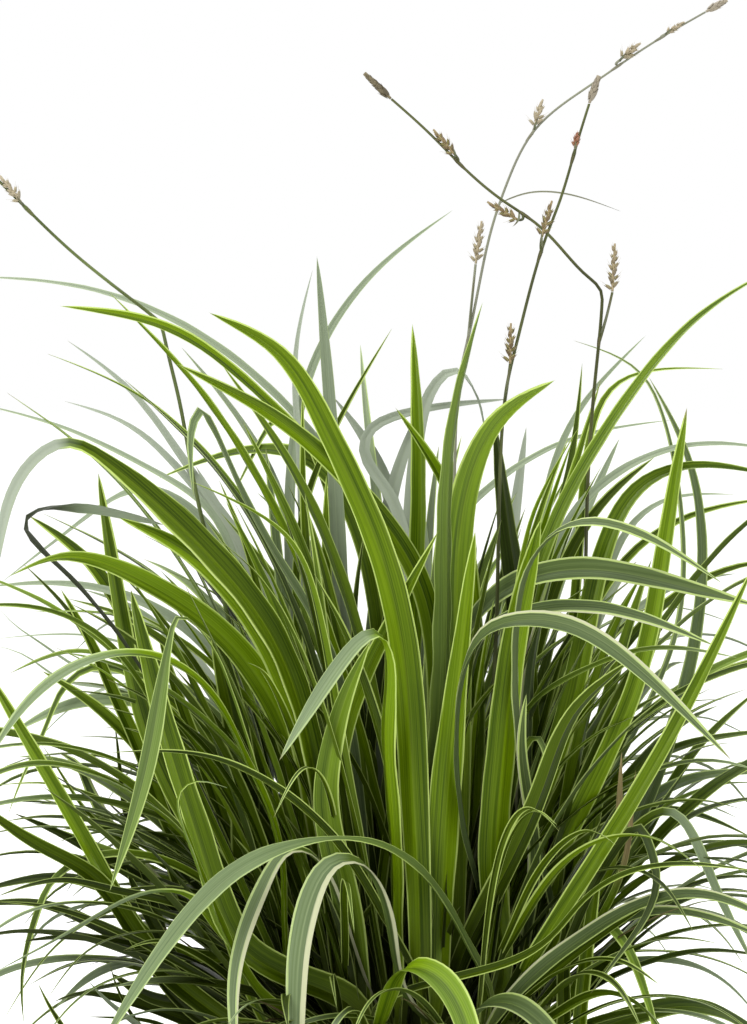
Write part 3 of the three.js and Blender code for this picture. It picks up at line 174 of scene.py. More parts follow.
# Blades beside those of the frame: width in mm, depth of the tip, finish, how far the blade is turned from facing the
# eye in degrees, then x, z pairs as the eye sees them, from its shoot outwards.
MORE_BLADES = [
    (2.2, 20, "mid", 50, [-60, 60, -95, 90, -125, 108, -140, 121, -150, 136, -158, 148]),
    (6, 60, "rimmed", 20, [-70, 50, -110, 90, -126, 108, -133, 120, -138, 130, -143, 140, -151, 145]),
    (3.5, 50, "mid", 40, [-60, 120, -100, 165, -135, 182, -148, 174, -157, 155, -165, 138, -173, 118]),
    (1.8, 30, "dark", 60, [-60, 90, -100, 112, -120, 120, -135, 126, -150, 131, -165, 132, -178, 131]),
    (3.5, 40, "black", 30, [-90, 40, -110, 80, -122, 118, -124.5, 135, -126, 150, -127, 158]),
    (1.4, 110, "grey", 60, [-60, 150, -100, 182, -130, 194, -150, 196, -178, 194]),
    (1.6, 100, "grey", 60, [-60, 140, -100, 165, -130, 173, -150, 176.5, -165, 186.5, -178, 191]),
    (1.8, 110, "grey", 55, [-60, 140, -110, 178, -140, 181, -150, 186, -160, 193, -170, 200, -176, 206]),
    (6, 10, "mid", 20, [-62, 60, -92, 95, -103, 112, -112, 135, -120, 155, -128, 172, -136, 190, -143, 203, -150, 215]),
    (2.6, 0, "black", 45, [-60, 60, -100, 100, -125, 113, -145, 117, -160, 117.5, -174, 115.5]),
    (3.2, -30, "mid", 40, [-60, 60, -110, 100, -145, 97, -155, 88, -160, 77, -165, 60, -167, 45, -166, 28]),
    (3.4, -60, "dark", 40, [-60, 5, -110, 8, -140, 15, -150, 28, -155, 36, -160, 46]),
    (2, -50, "black", 50, [-60, 5, -100, 15, -118, 30, -122, 36, -126, 44, -129, 54]),
    (3, -60, "grey", 40, [-60, 5, -105, 20, -125, 34, -132, 40, -138, 46.5]),
    (2, -50, "black", 50, [-60, 5, -90, 18, -110, 29, -125, 31, -139, 31.5]),
    (3, -50, "dark", 40, [-40, 10, -70, 40, -95, 60, -110, 64, -123, 60]),
    (6, -20, "black", 20, [-50, 10, -75, 25, -95, 45, -105, 62, -115, 80, -122, 95]),
    (5, -10, "dark", 25, [-45, 30, -70, 50, -85, 62, -98, 82, -108, 108]),
    (4.5, -30, "black", 25, [-45, 5, -68, 18, -90, 30, -108, 48, -120, 70]),
    (3.7, -60, "lime", 30, [-40, 5, -62, 28, -72, 48, -79, 66, -85, 82, -90, 98, -95, 112]),
    (12, -90, "faded", 10, [-13, 10, -20, 30, -24, 60, -28, 85, -33, 105, -36, 125, -34, 145, -28, 168, -17, 193]),
    (1.4, 0, "dark", 60, [-60, 95, -100, 88, -145, 68, -160, 53, -176, 28]),
    (3.6, -70, "black", 30, [-60, 50, -95, 78, -127, 86, -145, 90, -160, 89, -178, 83]),
    (3.2, -60, "black", 30, [-60, 30, -100, 55, -125, 68, -142, 75, -160, 79.5, -178, 81]),
    (5, -40, "black", 25, [-50, 8, -80, 22, -105, 26, -122, 24, -135, 20]),
    (4, -50, "black", 25, [-50, 5, -75, 8, -98, 8, -118, 2]),
    (6, -30, "black", 20, [-45, 8, -70, 30, -90, 36, -112, 40, -128, 50]),
    (6, 30, "mid", 15, [-50, 40, -70, 90, -85, 130, -98, 165, -108, 195]),
    (6.5, 10, "dark", 15, [-48, 30, -66, 70, -80, 105, -92, 135]),
    (6, 40, "mid", 20, [-55, 60, -85, 110, -110, 140, -135, 165, -158, 180]),
    (5, 20, "dark", 20, [-50, 40, -80, 80, -105, 100, -130, 112, -150, 112]),
    (6, 40, "dark", 20, [40, 120, 52, 180, 66, 225, 85, 255, 105, 272]),
    (5, 60, "mid", 20, [30, 120, 42, 190, 55, 245, 68, 280]),
    (5, 50, "dark", 20, [35, 120, 50, 185, 64, 230, 78, 262]),
    (4.5, 80, "mid", 30, [40, 110, 70, 190, 100, 235, 130, 250, 160, 255]),
    (5, 80, "dark", 30, [45, 100, 75, 165, 105, 205, 140, 225, 165, 228]),
    (4, 60, "mid", 30, [45, 90, 80, 140, 115, 170, 150, 185, 170, 186]),
    (7, 140, "pale", 15, [30, 120, 38, 190, 44, 240, 50, 285]),
    (6, 150, "grey", 15, [35, 120, 55, 190, 72, 240, 90, 280]),
    (5, 140, "grey", 20, [40, 110, 75, 180, 110, 215, 140, 222]),
    (6, 150, "pale", 15, [-40, 120, -60, 190, -75, 235, -92, 268]),
    (5, 140, "grey", 15, [-50, 110, -85, 170, -115, 205, -140, 215]),
    (9, -70, "mid", 10, [41.5, 40, 39, 70, 38, 100, 38, 130, 41, 160, 44, 180, 48, 210]),
    (5.5, -75, "rimmed", 10, [50, 45, 52, 80, 53, 110, 50, 130, 48, 150, 50, 170]),
    (8, 60, "black", 15, [40, 100, 50, 135, 60, 150, 70, 165, 84, 182]),
    (6, 40, "mid", 20, [42, 95, 55, 120, 65, 135, 75, 150, 85, 165, 97, 180]),
    (11, 40, "mid", 10, [60, 60, 78, 100, 84, 122, 85, 130, 90, 155, 98, 178]),
    (4, -60, "olive", 10, [36, 90, 43, 125, 49, 146, 54, 152, 58, 145, 58, 123]),
    (4, -80, "straw", 20, [60, 50, 80, 84, 88, 102, 90, 122, 91, 145]),
    (3, -76, "straw", 20, [62, 45, 84, 78, 92, 97, 95, 116, 97, 137]),
    (4, -95, "black", 20, [60, 50, 75, 80, 90, 106, 98, 113, 104, 102, 106, 88, 101, 74, 90, 58, 78, 42]),
    (4.5, -70, "bright", 20, [60, 60, 75, 75, 90, 66, 100, 45, 105, 28, 108, 10]),
    (4, -70, "dark", 30, [45, 38, 50, 42, 70, 58, 90, 72, 103, 80]),
    (6, -60, "mid", 15, [70, 14, 73, 28, 75, 50, 78, 75, 82, 100]),
    (6, -50, "dark", 15, [62, 14, 66, 28, 66, 50, 68, 80]),
    (5, 40, "mid", 20, [-30, 60, -38, 120, -42, 170, -44, 220, -46, 260, -46, 304]),
    (5.5, 30, "rich", 20, [-20, 60, -28, 130, -34, 190, -36, 230, -36, 264]),
    (4, 20, "black", 20, [-15, 60, -20, 140, -24, 200, -19, 243]),
    (4.5, 90, "mid", 30, [-20, 150, -30, 230, -42, 275, -55, 290, -66, 276, -77, 254]),
    (5.5, 60, "bluish", 20, [-24, 60, -40, 130, -52, 190, -58, 240, -62, 276]),
    (5, 50, "mid", 20, [-24, 60, -46, 130, -60, 190, -70, 232, -82, 262]),
    (5, 70, "grey", 20, [10, 60, 12, 140, 10, 200, 4, 262]),
]

# Flower stems: root on the soil, depth of the top, then x, z pairs as the eye sees them, in mm.
STEMS = {
    "left": {
        "root": (-33, 16),
        "depth": 66,
        "route": [-60, 120, -80, 210, -91, 252, -99, 295, -103, 312, -106, 325, -107.5, 329.5, -111, 333, -120, 340]
        + [-145, 360, -165, 379, -177, 391],
        "spikes": [
            ("pollen", (-177, 391, -190, 402), None, 0),
            ("seed", (-167, 381.5, -177, 394), (-164.5, 378.3), -1.4),
        ],
    },
    "front": {
        "root": (40, -10),
        "depth": 26,
        "route": [70, 150, 76, 250, 79, 300, 81.5, 325, 82.5, 338, 82.2, 343, 80, 346.5, 76, 350, 70, 356, 56, 371]
        + [39, 383, 21.5, 398, 8.6, 411, -8, 426],
        "spikes": [
            ("pollen", (-8, 426, -20.5, 438), None, 0),
            ("seed", (19.5, 402, 9.3, 413.8), (20.5, 399.2), -1.4),
            ("seed", (46.5, 374, 32.2, 382.5), (48.5, 376.4), -1.4),
            ("seed", (87, 343, 88.2, 365.5), (81.5, 322), 0),
        ],
    },
    "middle": {
        "root": (18, -24),
        "depth": -74,
        "route": [34, 150, 38, 240, 40, 290, 42, 305, 46, 322, 50, 338, 58, 365.5, 64.5, 382.7, 72.2, 408.5, 77, 424],
        "spikes": [
            ("pollen", (77, 424, 81.5, 437), None, 0),
            ("bud", (70.9, 404.5, 72.3, 412.5), (70.7, 402.5), -1),
            ("seed", (56.6, 366.5, 61.4, 383.5), (56.6, 360), -1.4),
            ("seed", (43, 312, 43.4, 331), (40.3, 293), -5),
        ],
    },
    "back": {
        "root": (6, 32),
        "depth": 92,
        "route": [14, 150, 19, 260, 22, 310, 25.8, 327, 34.4, 368, 41.7, 390, 53.8, 413, 77.4, 432, 103, 449.4]
        + [127, 463.5],
        "spikes": [
            ("pollen", (127, 463.5, 137, 469), None, 0),
            ("seed", (28.2, 355, 31, 375), (25, 323), 0),
            ("seed", (53.4, 413.6, 57.4, 426.8), (52.4, 411), 0),
            ("seed", (90.4, 443, 99.8, 450.6), (88.6, 441), -1),
            ("bud", (109.8, 454, 118.6, 459.6), (108, 452.6), -0.6),
        ],
        "bract": [38, 381, 50, 385.5, 66, 385.5, 90, 378],
    },
}
STEM_FOOT = 1.25 * MM
STEM_TOP = 0.62 * MM
# How thick a stem is beside the fullest, how green and how grey; the back stem's greyness is a painted haze.
STEM_LOOKS = {"left": (1, 0.85, 0.0), "front": (0.86, 0.2, 0.0), "middle": (0.86, 0.3, 0.0), "back": (0.72, 0.5, 0.7)}
STEM_BURIED = 10 * MM
STEM_HEIGHT = 465
STEM_SWAY = 1.7
STALK = 0.55 * MM

# ---------------------------------------------------------------- numbers


def unit(vectors):
    """Vectors divided by their lengths."""
    vectors = np.asarray(vectors, float)
    return vectors / np.maximum(np.linalg.norm(vectors, axis=-1, keepdims=True), 1e-12)


def smooth(values, low, high):
    """An S-shaped step from 0 at low to 1 at high: 3t^2 - 2t^3."""
    t = np.clip((np.asarray(values, float) - low) / (high - low), 0, 1)
    return t * t * (3 - 2 * t)


def eased(values):
    """Rows of values, each the mean of itself and three rows on each side, with the ends held."""
    padded = np.concatenate([values[:1]] * 3 + [values] + [values[-1:]] * 3)
    return sum(padded[k : k + len(values)] for k in range(7)) / 7


def triple(first, second, third):
    """Three values side by side, at one point or at many."""
    return np.stack(np.broadcast_arrays(first, second, third), -1)


def around(count):
    """Angles spread evenly round a circle."""
    return np.linspace(0, 2 * math.pi, count, endpoint=False)


def run_along(points, power=1):
    """The distance run at each point of a line of points, every step raised to a power."""
    steps = np.linalg.norm(np.diff(points, axis=0), axis=1) ** power
    return np.concatenate([[0], np.cumsum(steps)])


def between(at, knots, rows):
    """Rows of three values, read between their knots."""
    return np.stack([np.interp(at, knots, rows[:, i]) for i in range(3)], 1)


def natural_spline(knots, values, at):
    """Cubic pieces through the values whose slope and curvature agree at the knots and whose ends are straight."""
    step = np.diff(knots)
    count = len(knots)
    matrix = np.eye(count)
    right = np.zeros_like(values)
    if count > 2:
        inner = np.arange(1, count - 1)
        matrix[inner, inner - 1] = step[:-1]
        matrix[inner, inner] = 2 * (step[:-1] + step[1:])
        matrix[inner, inner + 1] = step[1:]
        right[1:-1] = 6 * np.diff(np.diff(values, axis=0) / step[:, None], axis=0)
    bend = np.linalg.solve(matrix, right)
    k = np.clip(np.searchsorted(knots, at) - 1, 0, count - 2)
    h = step[k][:, None]
    a = (knots[k + 1] - at)[:, None] / h
    b = 1 - a
    return a * values[k] + b * values[k + 1] + ((a**3 - a) * bend[k] + (b**3 - b) * bend[k + 1]) * h**2 / 6


def smooth_path(points, shares):
    """A smooth path through points and its directions, at shares of its length, and its length."""
    points = np.asarray(points, float)
    knots = run_along(points, 0.8)
    fine = natural_spline(knots, points, np.linspace(0, knots[-1], PATH_STEPS))
    run = run_along(fine)
    wanted = np.asarray(shares) * run[-1]
    return between(wanted, run, fine), unit(between(wanted, run, np.gradient(fine, axis=0))), run[-1]


def pairs(numbers):
    """Pairs of a flat list of numbers."""
    return list(zip(numbers[::2], numbers[1::2]))


def seen(x, z, depth):
    """The point at a depth (y) that the eye sees at x, z of the upright plane through the axis, all in mm."""
    ray = EYE_DISTANCE * AHEAD + (z * MM - EYE_Z) * ABOVE + np.array([x * MM - EYE_X, 0, 0])
    return EYE + ray * (depth * MM - EYE[1]) / ray[1]


def seen_at(points):
    """Where the eye sees points: x from the axis and z over the soil, in mm."""
    from_eye = points - EYE
    scale = EYE_DISTANCE / (from_eye @ AHEAD)
    return np.stack([from_eye[..., 0] * scale + EYE_X, (from_eye @ ABOVE) * scale + EYE_Z], -1) / MM


# ---------------------------------------------------------------- meshes


class Surface:
    """Grids of points gathered into one mesh, with named values at the points."""

    def __init__(self):
        self.points, self.faces, self.values = [], [], {}
        self.count = 0

    def add(self, points, faces, values):
        """Adds points, faces (arrays of corner numbers, -1 where a triangle has no fourth) and values."""
        self.points.append(points)
        self.faces.append(np.where(faces < 0, -1, faces + self.count))
        self.count += len(points)
        for name, value in values.items():
            value = np.broadcast_to(np.asarray(value, float), (len(points), 3))
            self.values.setdefault(name, []).append(value)

    def tube(self, rings, ends, values, over=False):
        """Adds a closed tube: rings of points and a point in the middle of each end, with its faces turned over or
        not."""
        faces = tube_faces(*rings.shape[:2])
        self.add(np.concatenate([rings.reshape(-1, 3), ends]), flipped(faces) if over else faces, values)

    def mesh(self, name):
        """The mesh, with each set of values as a vector attribute."""
        points, faces = np.concatenate(self.points), np.concatenate(self.faces)
        corners = faces[faces >= 0]
        sizes = np.where(faces[:, 3] < 0, 3, 4)
        mesh = bpy.data.meshes.new(name)
        mesh.vertices.add(len(points))
        mesh.vertices.foreach_set("co", points.astype(np.float32).ravel())
        mesh.loops.add(len(corners))
        mesh.loops.foreach_set("vertex_index", corners.astype(np.int32))
        mesh.polygons.add(len(faces))
        mesh.polygons.foreach_set("loop_start", (np.cumsum(sizes) - sizes).astype(np.int32))
        mesh.update(calc_edges=True)
        for label, value in self.values.items():
            attribute = mesh.attributes.new(label, "FLOAT_VECTOR", "POINT")
            attribute.data.foreach_set("vector", np.concatenate(value).astype(np.float32).ravel())
        return mesh


def tube_faces(rows, columns):
    """Faces of a closed tube of rows of points, each a ring, with one more point in the middle of each end."""
    i, j = np.meshgrid(np.arange(rows - 1), np.arange(columns), indexing="ij")
    here, beside = i * columns + j, i * columns + (j + 1) % columns
    quads = np.stack([here, here + columns, beside + columns, beside], -1).reshape(-1, 4)
    ring, none = np.arange(columns), np.full(columns, -1)
    following = (ring + 1) % columns
    total, last = rows * columns, (rows - 1) * columns
    foot = np.stack([none + total + 1, ring, following, none], 1)
    tip = np.stack([none + total + 2, last + following, last + ring, none], 1)
    return np.concatenate([quads, foot, tip])


def flipped(faces):
    """Faces with their corners in the other order."""
    turned = faces[:, ::-1].copy()
    triangle = turned[:, 0] < 0
    turned[triangle] = np.concatenate([turned[triangle][:, 1:], turned[triangle][:, :1]], 1)
    return turned


def make_piece(name, surface, material, nodes, sharp):
    """A mesh as a piece that rides on the plant's body and stands for CAD nodes. Edges bent by more than sharp degrees
    stay sharp."""
    mesh = surface.mesh(name)
    mesh.materials.append(material)
    mesh.polygons.foreach_set("use_smooth", np.ones(len(mesh.polygons), bool))
    mesh.set_sharp_from_angle(angle=math.radians(sharp))
    piece = bpy.data.objects.new(name, mesh)
    bpy.context.scene.collection.objects.link(piece)
    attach(piece, "root")
    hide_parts(*nodes)
    return piece


# ---------------------------------------------------------------- blades

# Places across a blade, from one edge to the other on the upper face and back on the lower one.
UPPER_COLUMNS = np.array([-1, -0.86, -0.55, -0.2, 0, 0.2, 0.55, 0.86, 1])
LOWER_COLUMNS = np.array([0.7, 0.3, 0, -0.3, -0.7])
ACROSS = np.concatenate([UPPER_COLUMNS, LOWER_COLUMNS])
ON_LOWER = np.concatenate([np.zeros(len(UPPER_COLUMNS)), np.ones(len(LOWER_COLUMNS))])


def leaf_outline(share):
    """Half width over its fullest: narrower at the foot, fullest below the middle, with a long fine tip."""
    swell = 0.32 + 0.42 * smooth(share, 0, 0.12) + 0.26 * smooth(share, 0.1, 0.4)
    return swell * (1 - np.clip(share, 0, 1) ** 3.1) ** 0.85


def blade_outline(share, blunt=False):
    """The leaf outline with its width held longer and a shorter tip: (1 - s^4.4)^0.8 in place of (1 - s^3.1)^0.85, or
    (1 - s^6.5)^0.72 where it is blunt."""
    share = np.clip(share, 0, 1)
    swell = 0.34 + 0.42 * smooth(share, 0, 0.12) + 0.26 * smooth(share, 0.1, 0.4)
    return swell * ((1 - share**6.5) ** 0.72 if blunt else (1 - share**4.4) ** 0.8)


def add_blade(surface, path, heading, normal, half, finish, length, draw, dry=0.0):
    """Adds a blade: at each station, points at u times the half width, raised by the fold times |u| with a rib on
    each side, and lowered on the under face by a thickness that falls to the edges and has a keel in the middle."""
    tone, bloom, pale, margin, shade, turns = finish
    u, reach, width = ACROSS, np.abs(ACROSS), half[:, None]
    share = np.linspace(0, 1, len(path))[:, None]
    across = unit(np.cross(normal, heading))
    normal = np.cross(heading, across)
    fold = 0.36 + 0.5 * (1 - smooth(share, 0, 0.25)) - 0.12 * smooth(share, 0.5, 1) + draw.uniform(-0.08, 0.1)
    rise = fold * width * (reach - 0.3 * reach**3) + 0.06 * width * np.exp(-(((reach - 0.55) / 0.16) ** 2))
    thick = BLADE_EDGE + (BLADE_THICK - BLADE_EDGE) * (1 - u**2) + BLADE_KEEL * np.exp(-((u / 0.12) ** 2))
    slim = np.clip(width / (2 * MM), 0.15, 1)
    waves = length / draw.uniform(22, 45) / MM
    ripple = 0.05 * np.sin(share * waves * 2 * math.pi + np.sign(u) * 0.9 + draw.uniform(0, 6))
    middle = 0.45 * fold * width  # keeps the blade's bulk on its path
    height = rise - ON_LOWER * thick * slim + ripple * width * reach**2 - middle
    rings = path[:, None] + across[:, None] * (u * width)[..., None] + normal[:, None] * height[..., None]
    ends = np.stack([path[0], path[-1] + heading[-1] * 0.6 * MM]) - (normal * middle)[[0, -1]] * 0.5
    points = np.concatenate([rings.reshape(-1, 3), ends])

    def spread(values):
        """Values of the stations or the places across, one a point, with the first and last again for the ends."""
        every = np.broadcast_to(values, rings.shape[:2]).ravel()
        return np.append(every, every[[0, -1]])

    # Painted sheen, partly real: where the blade heads down and where it turns past its arch it shows its waxy upper
    # face, and bloom and paleness rise there, partly as painted sheen of the light from above.
    droop_sheen = smooth(-heading[:, 2:], -0.15, 0.6)
    turned = turns * smooth(-heading[:, 2:], -0.2, 0.35)
    bloom = np.clip(bloom + 0.22 * droop_sheen + 0.75 * turned, 0, 1)
    pale = np.clip(pale + 0.18 * turned * max(turns, 1), 0, 1)
    # Painted shade: blades are darkened low in the middle of the clump, and more low at its left behind the front
    # blades, where the blades above shade them; it is lifted where the blade turns its upper face out, and goes with
    # the finish's shade into the third number of chance.
    radius, over_soil = np.hypot(points[:, 0], points[:, 1]), points[:, 2] - SOIL_TOP
    inside = (1 - smooth(over_soil, 25 * MM, 190 * MM)) * (1 - smooth(radius, 30 * MM, 85 * MM))
    under = (1 - smooth(over_soil, 30 * MM, 120 * MM)) * (1 - smooth(points[:, 0], -70 * MM, 0))
    inside = inside + 0.45 * under * smooth(points[:, 1], -100 * MM, -70 * MM)
    shade = shade * (1 - 0.9 * np.clip(spread(turned), 0, 1))
    uneven = 0.45 if margin > 1 else draw.uniform(-0.5, 0.5)
    edge = np.clip(margin * MM * (1 + uneven * np.sign(u)) / np.maximum(width, 0.3 * MM), 0, 0.6)
    values = {
        "place": triple(spread(u), spread(u * width / MM), spread(share * length / MM)),
        "look": triple(tone, spread(bloom), spread(pale)),
        "age": triple(spread(dry * smooth(share, 0.55, 0.75)), spread(edge), spread(share)),
        "chance": triple(draw.uniform(0, 1), draw.uniform(0, 1), np.clip(shade + 0.76 * inside, 0, 1)),
    }
    surface.tube(rings, ends, values)


def merged(node):
    """The points and triangles of a CAD node, with the corners that coincide made one."""
    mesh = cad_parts[node].data
    points = np.empty(len(mesh.vertices) * 3, np.float32)
    mesh.vertices.foreach_get("co", points)
    points = points.reshape(-1, 3).astype(float)
    corners = np.empty(len(mesh.loops), np.int32)
    mesh.loops.foreach_get("vertex_index", corners)
    key = np.round(points / (0.002 * MM)).astype(np.int64)
    _, first, number = np.unique(key, axis=0, return_index=True, return_inverse=True)
    return points[first], number.ravel()[corners].reshape(-1, 3)


def find_leaves(points, faces):
    """Leaves of a shoot: from each point with three neighbours that touch one another, ring after ring of three."""
    near = [set() for _ in points]
    for a, b, c in faces.tolist():
        if len({a, b, c}) == 3:
            near[a] |= {b, c}
            near[b] |= {a, c}
            near[c] |= {a, b}

    def is_ring(corners):
        """Whether the corners are three that all touch one another."""
        if len(corners) != 3:
            return False
        a, b, c = corners
        return b in near[a] and c in near[a] and c in near[b]

    found = []
    for tip, corners in enumerate(near):
        rings = []
        passed = {tip}
        while is_ring(corners):
            rings.append(sorted(corners))
            passed |= corners
            corners = set().union(*(near[v] for v in corners)) - passed
        if len(rings) >= 2:
            found.append((points[tip], [points[ring] for ring in rings]))
    return found


def ring_frame(ring):
    """Middle of the edges, the upper face's normal and the half width of a ring of two edges and a keel."""
    sides = [np.linalg.norm(ring[(k + 1) % 3] - ring[(k + 2) % 3]) for k in range(3)]
    keel = int(np.argmax(sides))
    first, second = ring[(keel + 1) % 3], ring[(keel + 2) % 3]
    middle = (first + second) / 2
    return middle, unit(middle - ring[keel]), sides[keel] / 2


class Shoot:
    """Where a shoot stands and leans, and how high its sheath is, in the same way as its CAD node."""

    def __init__(self, number):
        radius = CLUMP_RADIUS * math.sqrt((number + 0.5) / SHOOT_COUNT)
        angle = number * GOLDEN_ANGLE + 0.9
        self.node = f"shoot_{number + 1:02d}"
        self.foot = np.array([radius * math.cos(angle), radius * math.sin(angle), SOIL_TOP])
        self.lean = self.foot * [1, 1, 0] * CLUMP_LEAN / CLUMP_RADIUS
        self.azimuth = angle
        self.edge = radius / CLUMP_RADIUS
        self.points, self.faces = merged(self.node)
        self.neck = self.find_neck()

    def axis(self, height):
        """Points on the shoot's axis at heights over the soil."""
        height = np.asarray(height, float)[..., None]
        return self.foot + (self.lean + UP) * height

    def start(self, low):
        """Where a blade leaves the axis: low on the sheath, or inside its neck."""
        return self.axis(LOW_START if low else self.neck - NECK_DROP)

    def find_neck(self):
        """Height of the sheath's top, from the corners that lie on its rim."""
        height = self.points[:, 2] - SOIL_TOP
        away = np.linalg.norm((self.points - self.axis(height))[:, :2], axis=1)
        rim = (np.abs(away - SHEATH_NECK) < 0.12 * MM) & (height > 27 * MM) & (height < 41 * MM)
        return float(np.median(height[rim])) if rim.any() else SHEATH_HEIGHT


def finish_for(tip, draw):
    """The named finish, fullness and twist of a blade by its tip, or drawn ones: mid greens, darker and slimmer low
    down and in front, the darkness painted shade, and waxy and paler at the back, a painted haze."""
    x, z = seen_at(tip)
    listed = [(name, row) for name, rows in TIP_FINISHES.items() for row in rows]
    away, name, (_, _, full, *twist) = min((math.hypot(row[0] - x, row[1] - z), name, row) for name, row in listed)
    # Pale and grey finishes paint a haze that belongs to blades at the back, so tips in front don't take them.
    pale_in_front = name in ("pale", "grey") and tip[1] < 0.02
    if away < TIP_REACH and not pale_in_front:
        return FINISHES[name], full, twist[0] if twist else None
    # Painted haze raises paleness and bloom at the back; painted shade lowers the tone and raises the shade low down
    # and in front.
    behind = smooth(tip[1], 0.07, 0.17)
    low = 1 - smooth(z, 60, 170)
    in_front = 1 - smooth(tip[1], -0.09, -0.02)
    pale = 0.7 * behind * draw.uniform(0.2, 1)
    bloom = draw.uniform(0, 0.4) ** 2 + 0.5 * behind
    shade = draw.uniform(0, 0.25) + low * draw.uniform(0, 0.35) + 0.1 * in_front
    tone = draw.uniform(0.1, 1.05) * (1 - 0.55 * low)
    finish = (tone, min(bloom, 1), pale, draw.uniform(0.3, 0.55), shade, draw.choice([0, 0, 1]))
    return finish, 1.15 - 0.4 * in_front, None


def add_cad_leaf(surface, shoot, tip, rings, draw):
    """A leaf of the frame made fine: a smooth path through its rings from the sheath to the tip."""
    middles, normals, halves = (np.array(values) for values in zip(*(ring_frame(ring) for ring in reversed(rings))))
    first = middles[0]
    rise = first[2] - SOIL_TOP
    tall = rise > shoot.neck + 6 * MM
    height = shoot.neck - NECK_DROP if tall else min(10 * MM, 0.5 * rise)
    outwards = unit((first - shoot.axis(rise)) * [1, 1, 0])
    start = [shoot.axis(height) + outwards * (2 if tall else 1.4) * MM]
    if rise > shoot.neck + 34 * MM:
        start.append(shoot.axis(shoot.neck + 12 * MM) + outwards * 5 * MM)
    knots = np.concatenate([start, middles, [tip]])
    travelled = run_along(knots)
    shares = np.linspace(0, 1, int(BLADE_STATIONS + travelled[-1] / BLADE_STEP)) ** CROWDED
    path, heading, length = smooth_path(knots, shares)
    at_rings = travelled[len(start) : -1] / travelled[-1]
    fullness = halves / leaf_outline(at_rings)
    widest = float(np.median(fullness[leaf_outline(at_rings) > 0.4]))
    pinch = np.interp(shares, at_rings, np.clip(fullness / widest, 0.7, 1.1))
    finish, full, twist = finish_for(tip, draw)
    half = full * widest * blade_outline(shares, full > BROAD) * eased(pinch)
    before, at_crest, after, near_tip = twist or (1, 0.65 if finish[5] and heading[-1, 2] < -0.2 else 1, 1, 1)
    crest = shares[int(np.argmax(path[:, 2]))]
    half = half * (before + (after - before) * smooth(shares, crest - 0.15, crest + 0.1))
    half = half * (1 - (1 - at_crest) * np.exp(-(((shares - crest) / 0.1) ** 2)))
    half = np.maximum(half * (1 + (near_tip - 1) * smooth(shares, 0.45, 0.85)), THINNEST)
    normal = unit(eased(between(shares, at_rings, normals)))
    if full > BROAD:
        normal, half = turned_to_eye(heading, normal, half)
    add_blade(surface, path, heading, normal, half, finish, length, draw)
    return path


def turned_to_eye(heading, normal, half):
    """A broad blade's normals leant towards the eye, and its half widths less as it then shows more of its face."""
    to_eye = unit(TO_FRONT - heading * (heading @ TO_FRONT)[:, None])
    facing = np.sum(normal * to_eye, axis=1)
    pull = 0.8 * facing / np.sqrt(facing**2 + 0.3**2)
    leant = unit(eased(unit(normal + pull[:, None] * to_eye)))
    shown = (np.abs(facing) + 0.05) / (np.abs(np.sum(leant * to_eye, axis=1)) + 0.05)
    return leant, half * eased(np.clip(shown, 0.5, 1)[:, None])[:, 0]


# Least and most length in mm, lean, bend and half width in mm of an extra blade by its kind.
EXTRA_RANGES = {
    "upright": [160, 280, 0.04, 0.3, 0.2, 1.3, 2.4, 4.6],
    "arching": [150, 260, 0.3, 0.75, 0.9, 2.0, 2.0, 3.6],
    "low": [90, 190, 0.7, 1.15, 0.7, 1.5, 1.6, 3.0],
    "leftward": [110, 190, 0.35, 1.0, 0.3, 1.1, 3.2, 5.0],
    "short": [60, 150, 0.0, 0.5, 0.1, 0.8, 2.6, 4.4],
    "dry": [50, 140, 0.7, 1.3, 0.4, 1.3, 0.9, 2.0],
}


def free_path(shoot, draw, kind):
    """Points of an extra blade: it leaves its shoot near the upright and bends over more and more to its tip."""
    spread = 2.4 + (1.1 - 2.4) * shoot.edge
    azimuth = math.pi + draw.uniform(-0.9, 0.9) if kind == "leftward" else shoot.azimuth + draw.uniform(-spread, spread)
    drawn = {name: [draw.uniform(*ends) for ends in pairs(ranges)] for name, ranges in EXTRA_RANGES.items()}
    length, lean, bend, half = drawn[kind]
    low = kind in ("low", "dry", "leftward")
    heading = np.array([math.cos(azimuth), math.sin(azimuth), 0])
    start = shoot.start(low) + heading * (1.4 if low else 2) * MM
    share = (np.arange(10) + 0.5) / 10
    tilt = lean + bend * share ** draw.uniform(1.4, 2.4)
    turn = azimuth + draw.uniform(-0.5, 0.5) * share**2
    steps = triple(np.sin(tilt) * np.cos(turn), np.sin(tilt) * np.sin(turn), np.cos(tilt))
    return np.concatenate([[start], start + np.cumsum(steps, axis=0) * length * MM / 10]), heading, half * MM


def is_clear(path, half, crowd):
    """Whether a blade keeps out of the pot and soil, inside the frame's box and off the blades in the crowd."""
    low, high = (np.array(corner) for corner in cad_box)
    if (path < low + 1 * MM).any() or (path > high - 1 * MM).any():
        return False
    if path[:, 1].min() < -55 * MM and path[-1, 2] > SOIL_TOP + 60 * MM:
        return False
    radius = np.hypot(path[:, 0], path[:, 1])
    over_soil = (radius < POT_RIM - 9 * MM) & (path[:, 2] > SOIL_TOP + 3.5 * MM)
    over_rim = (radius >= POT_RIM - 9 * MM) & (path[:, 2] > POT_HEIGHT + 3 * MM)
    outside = radius > POT_RIM + 4 * MM
    if not (over_soil | over_rim | outside)[4:].all():
        return False
    return all(crowd.find(point)[2] > 1.0 * MM + 0.15 * width for point, width in zip(path[10::2], half[10::2]))


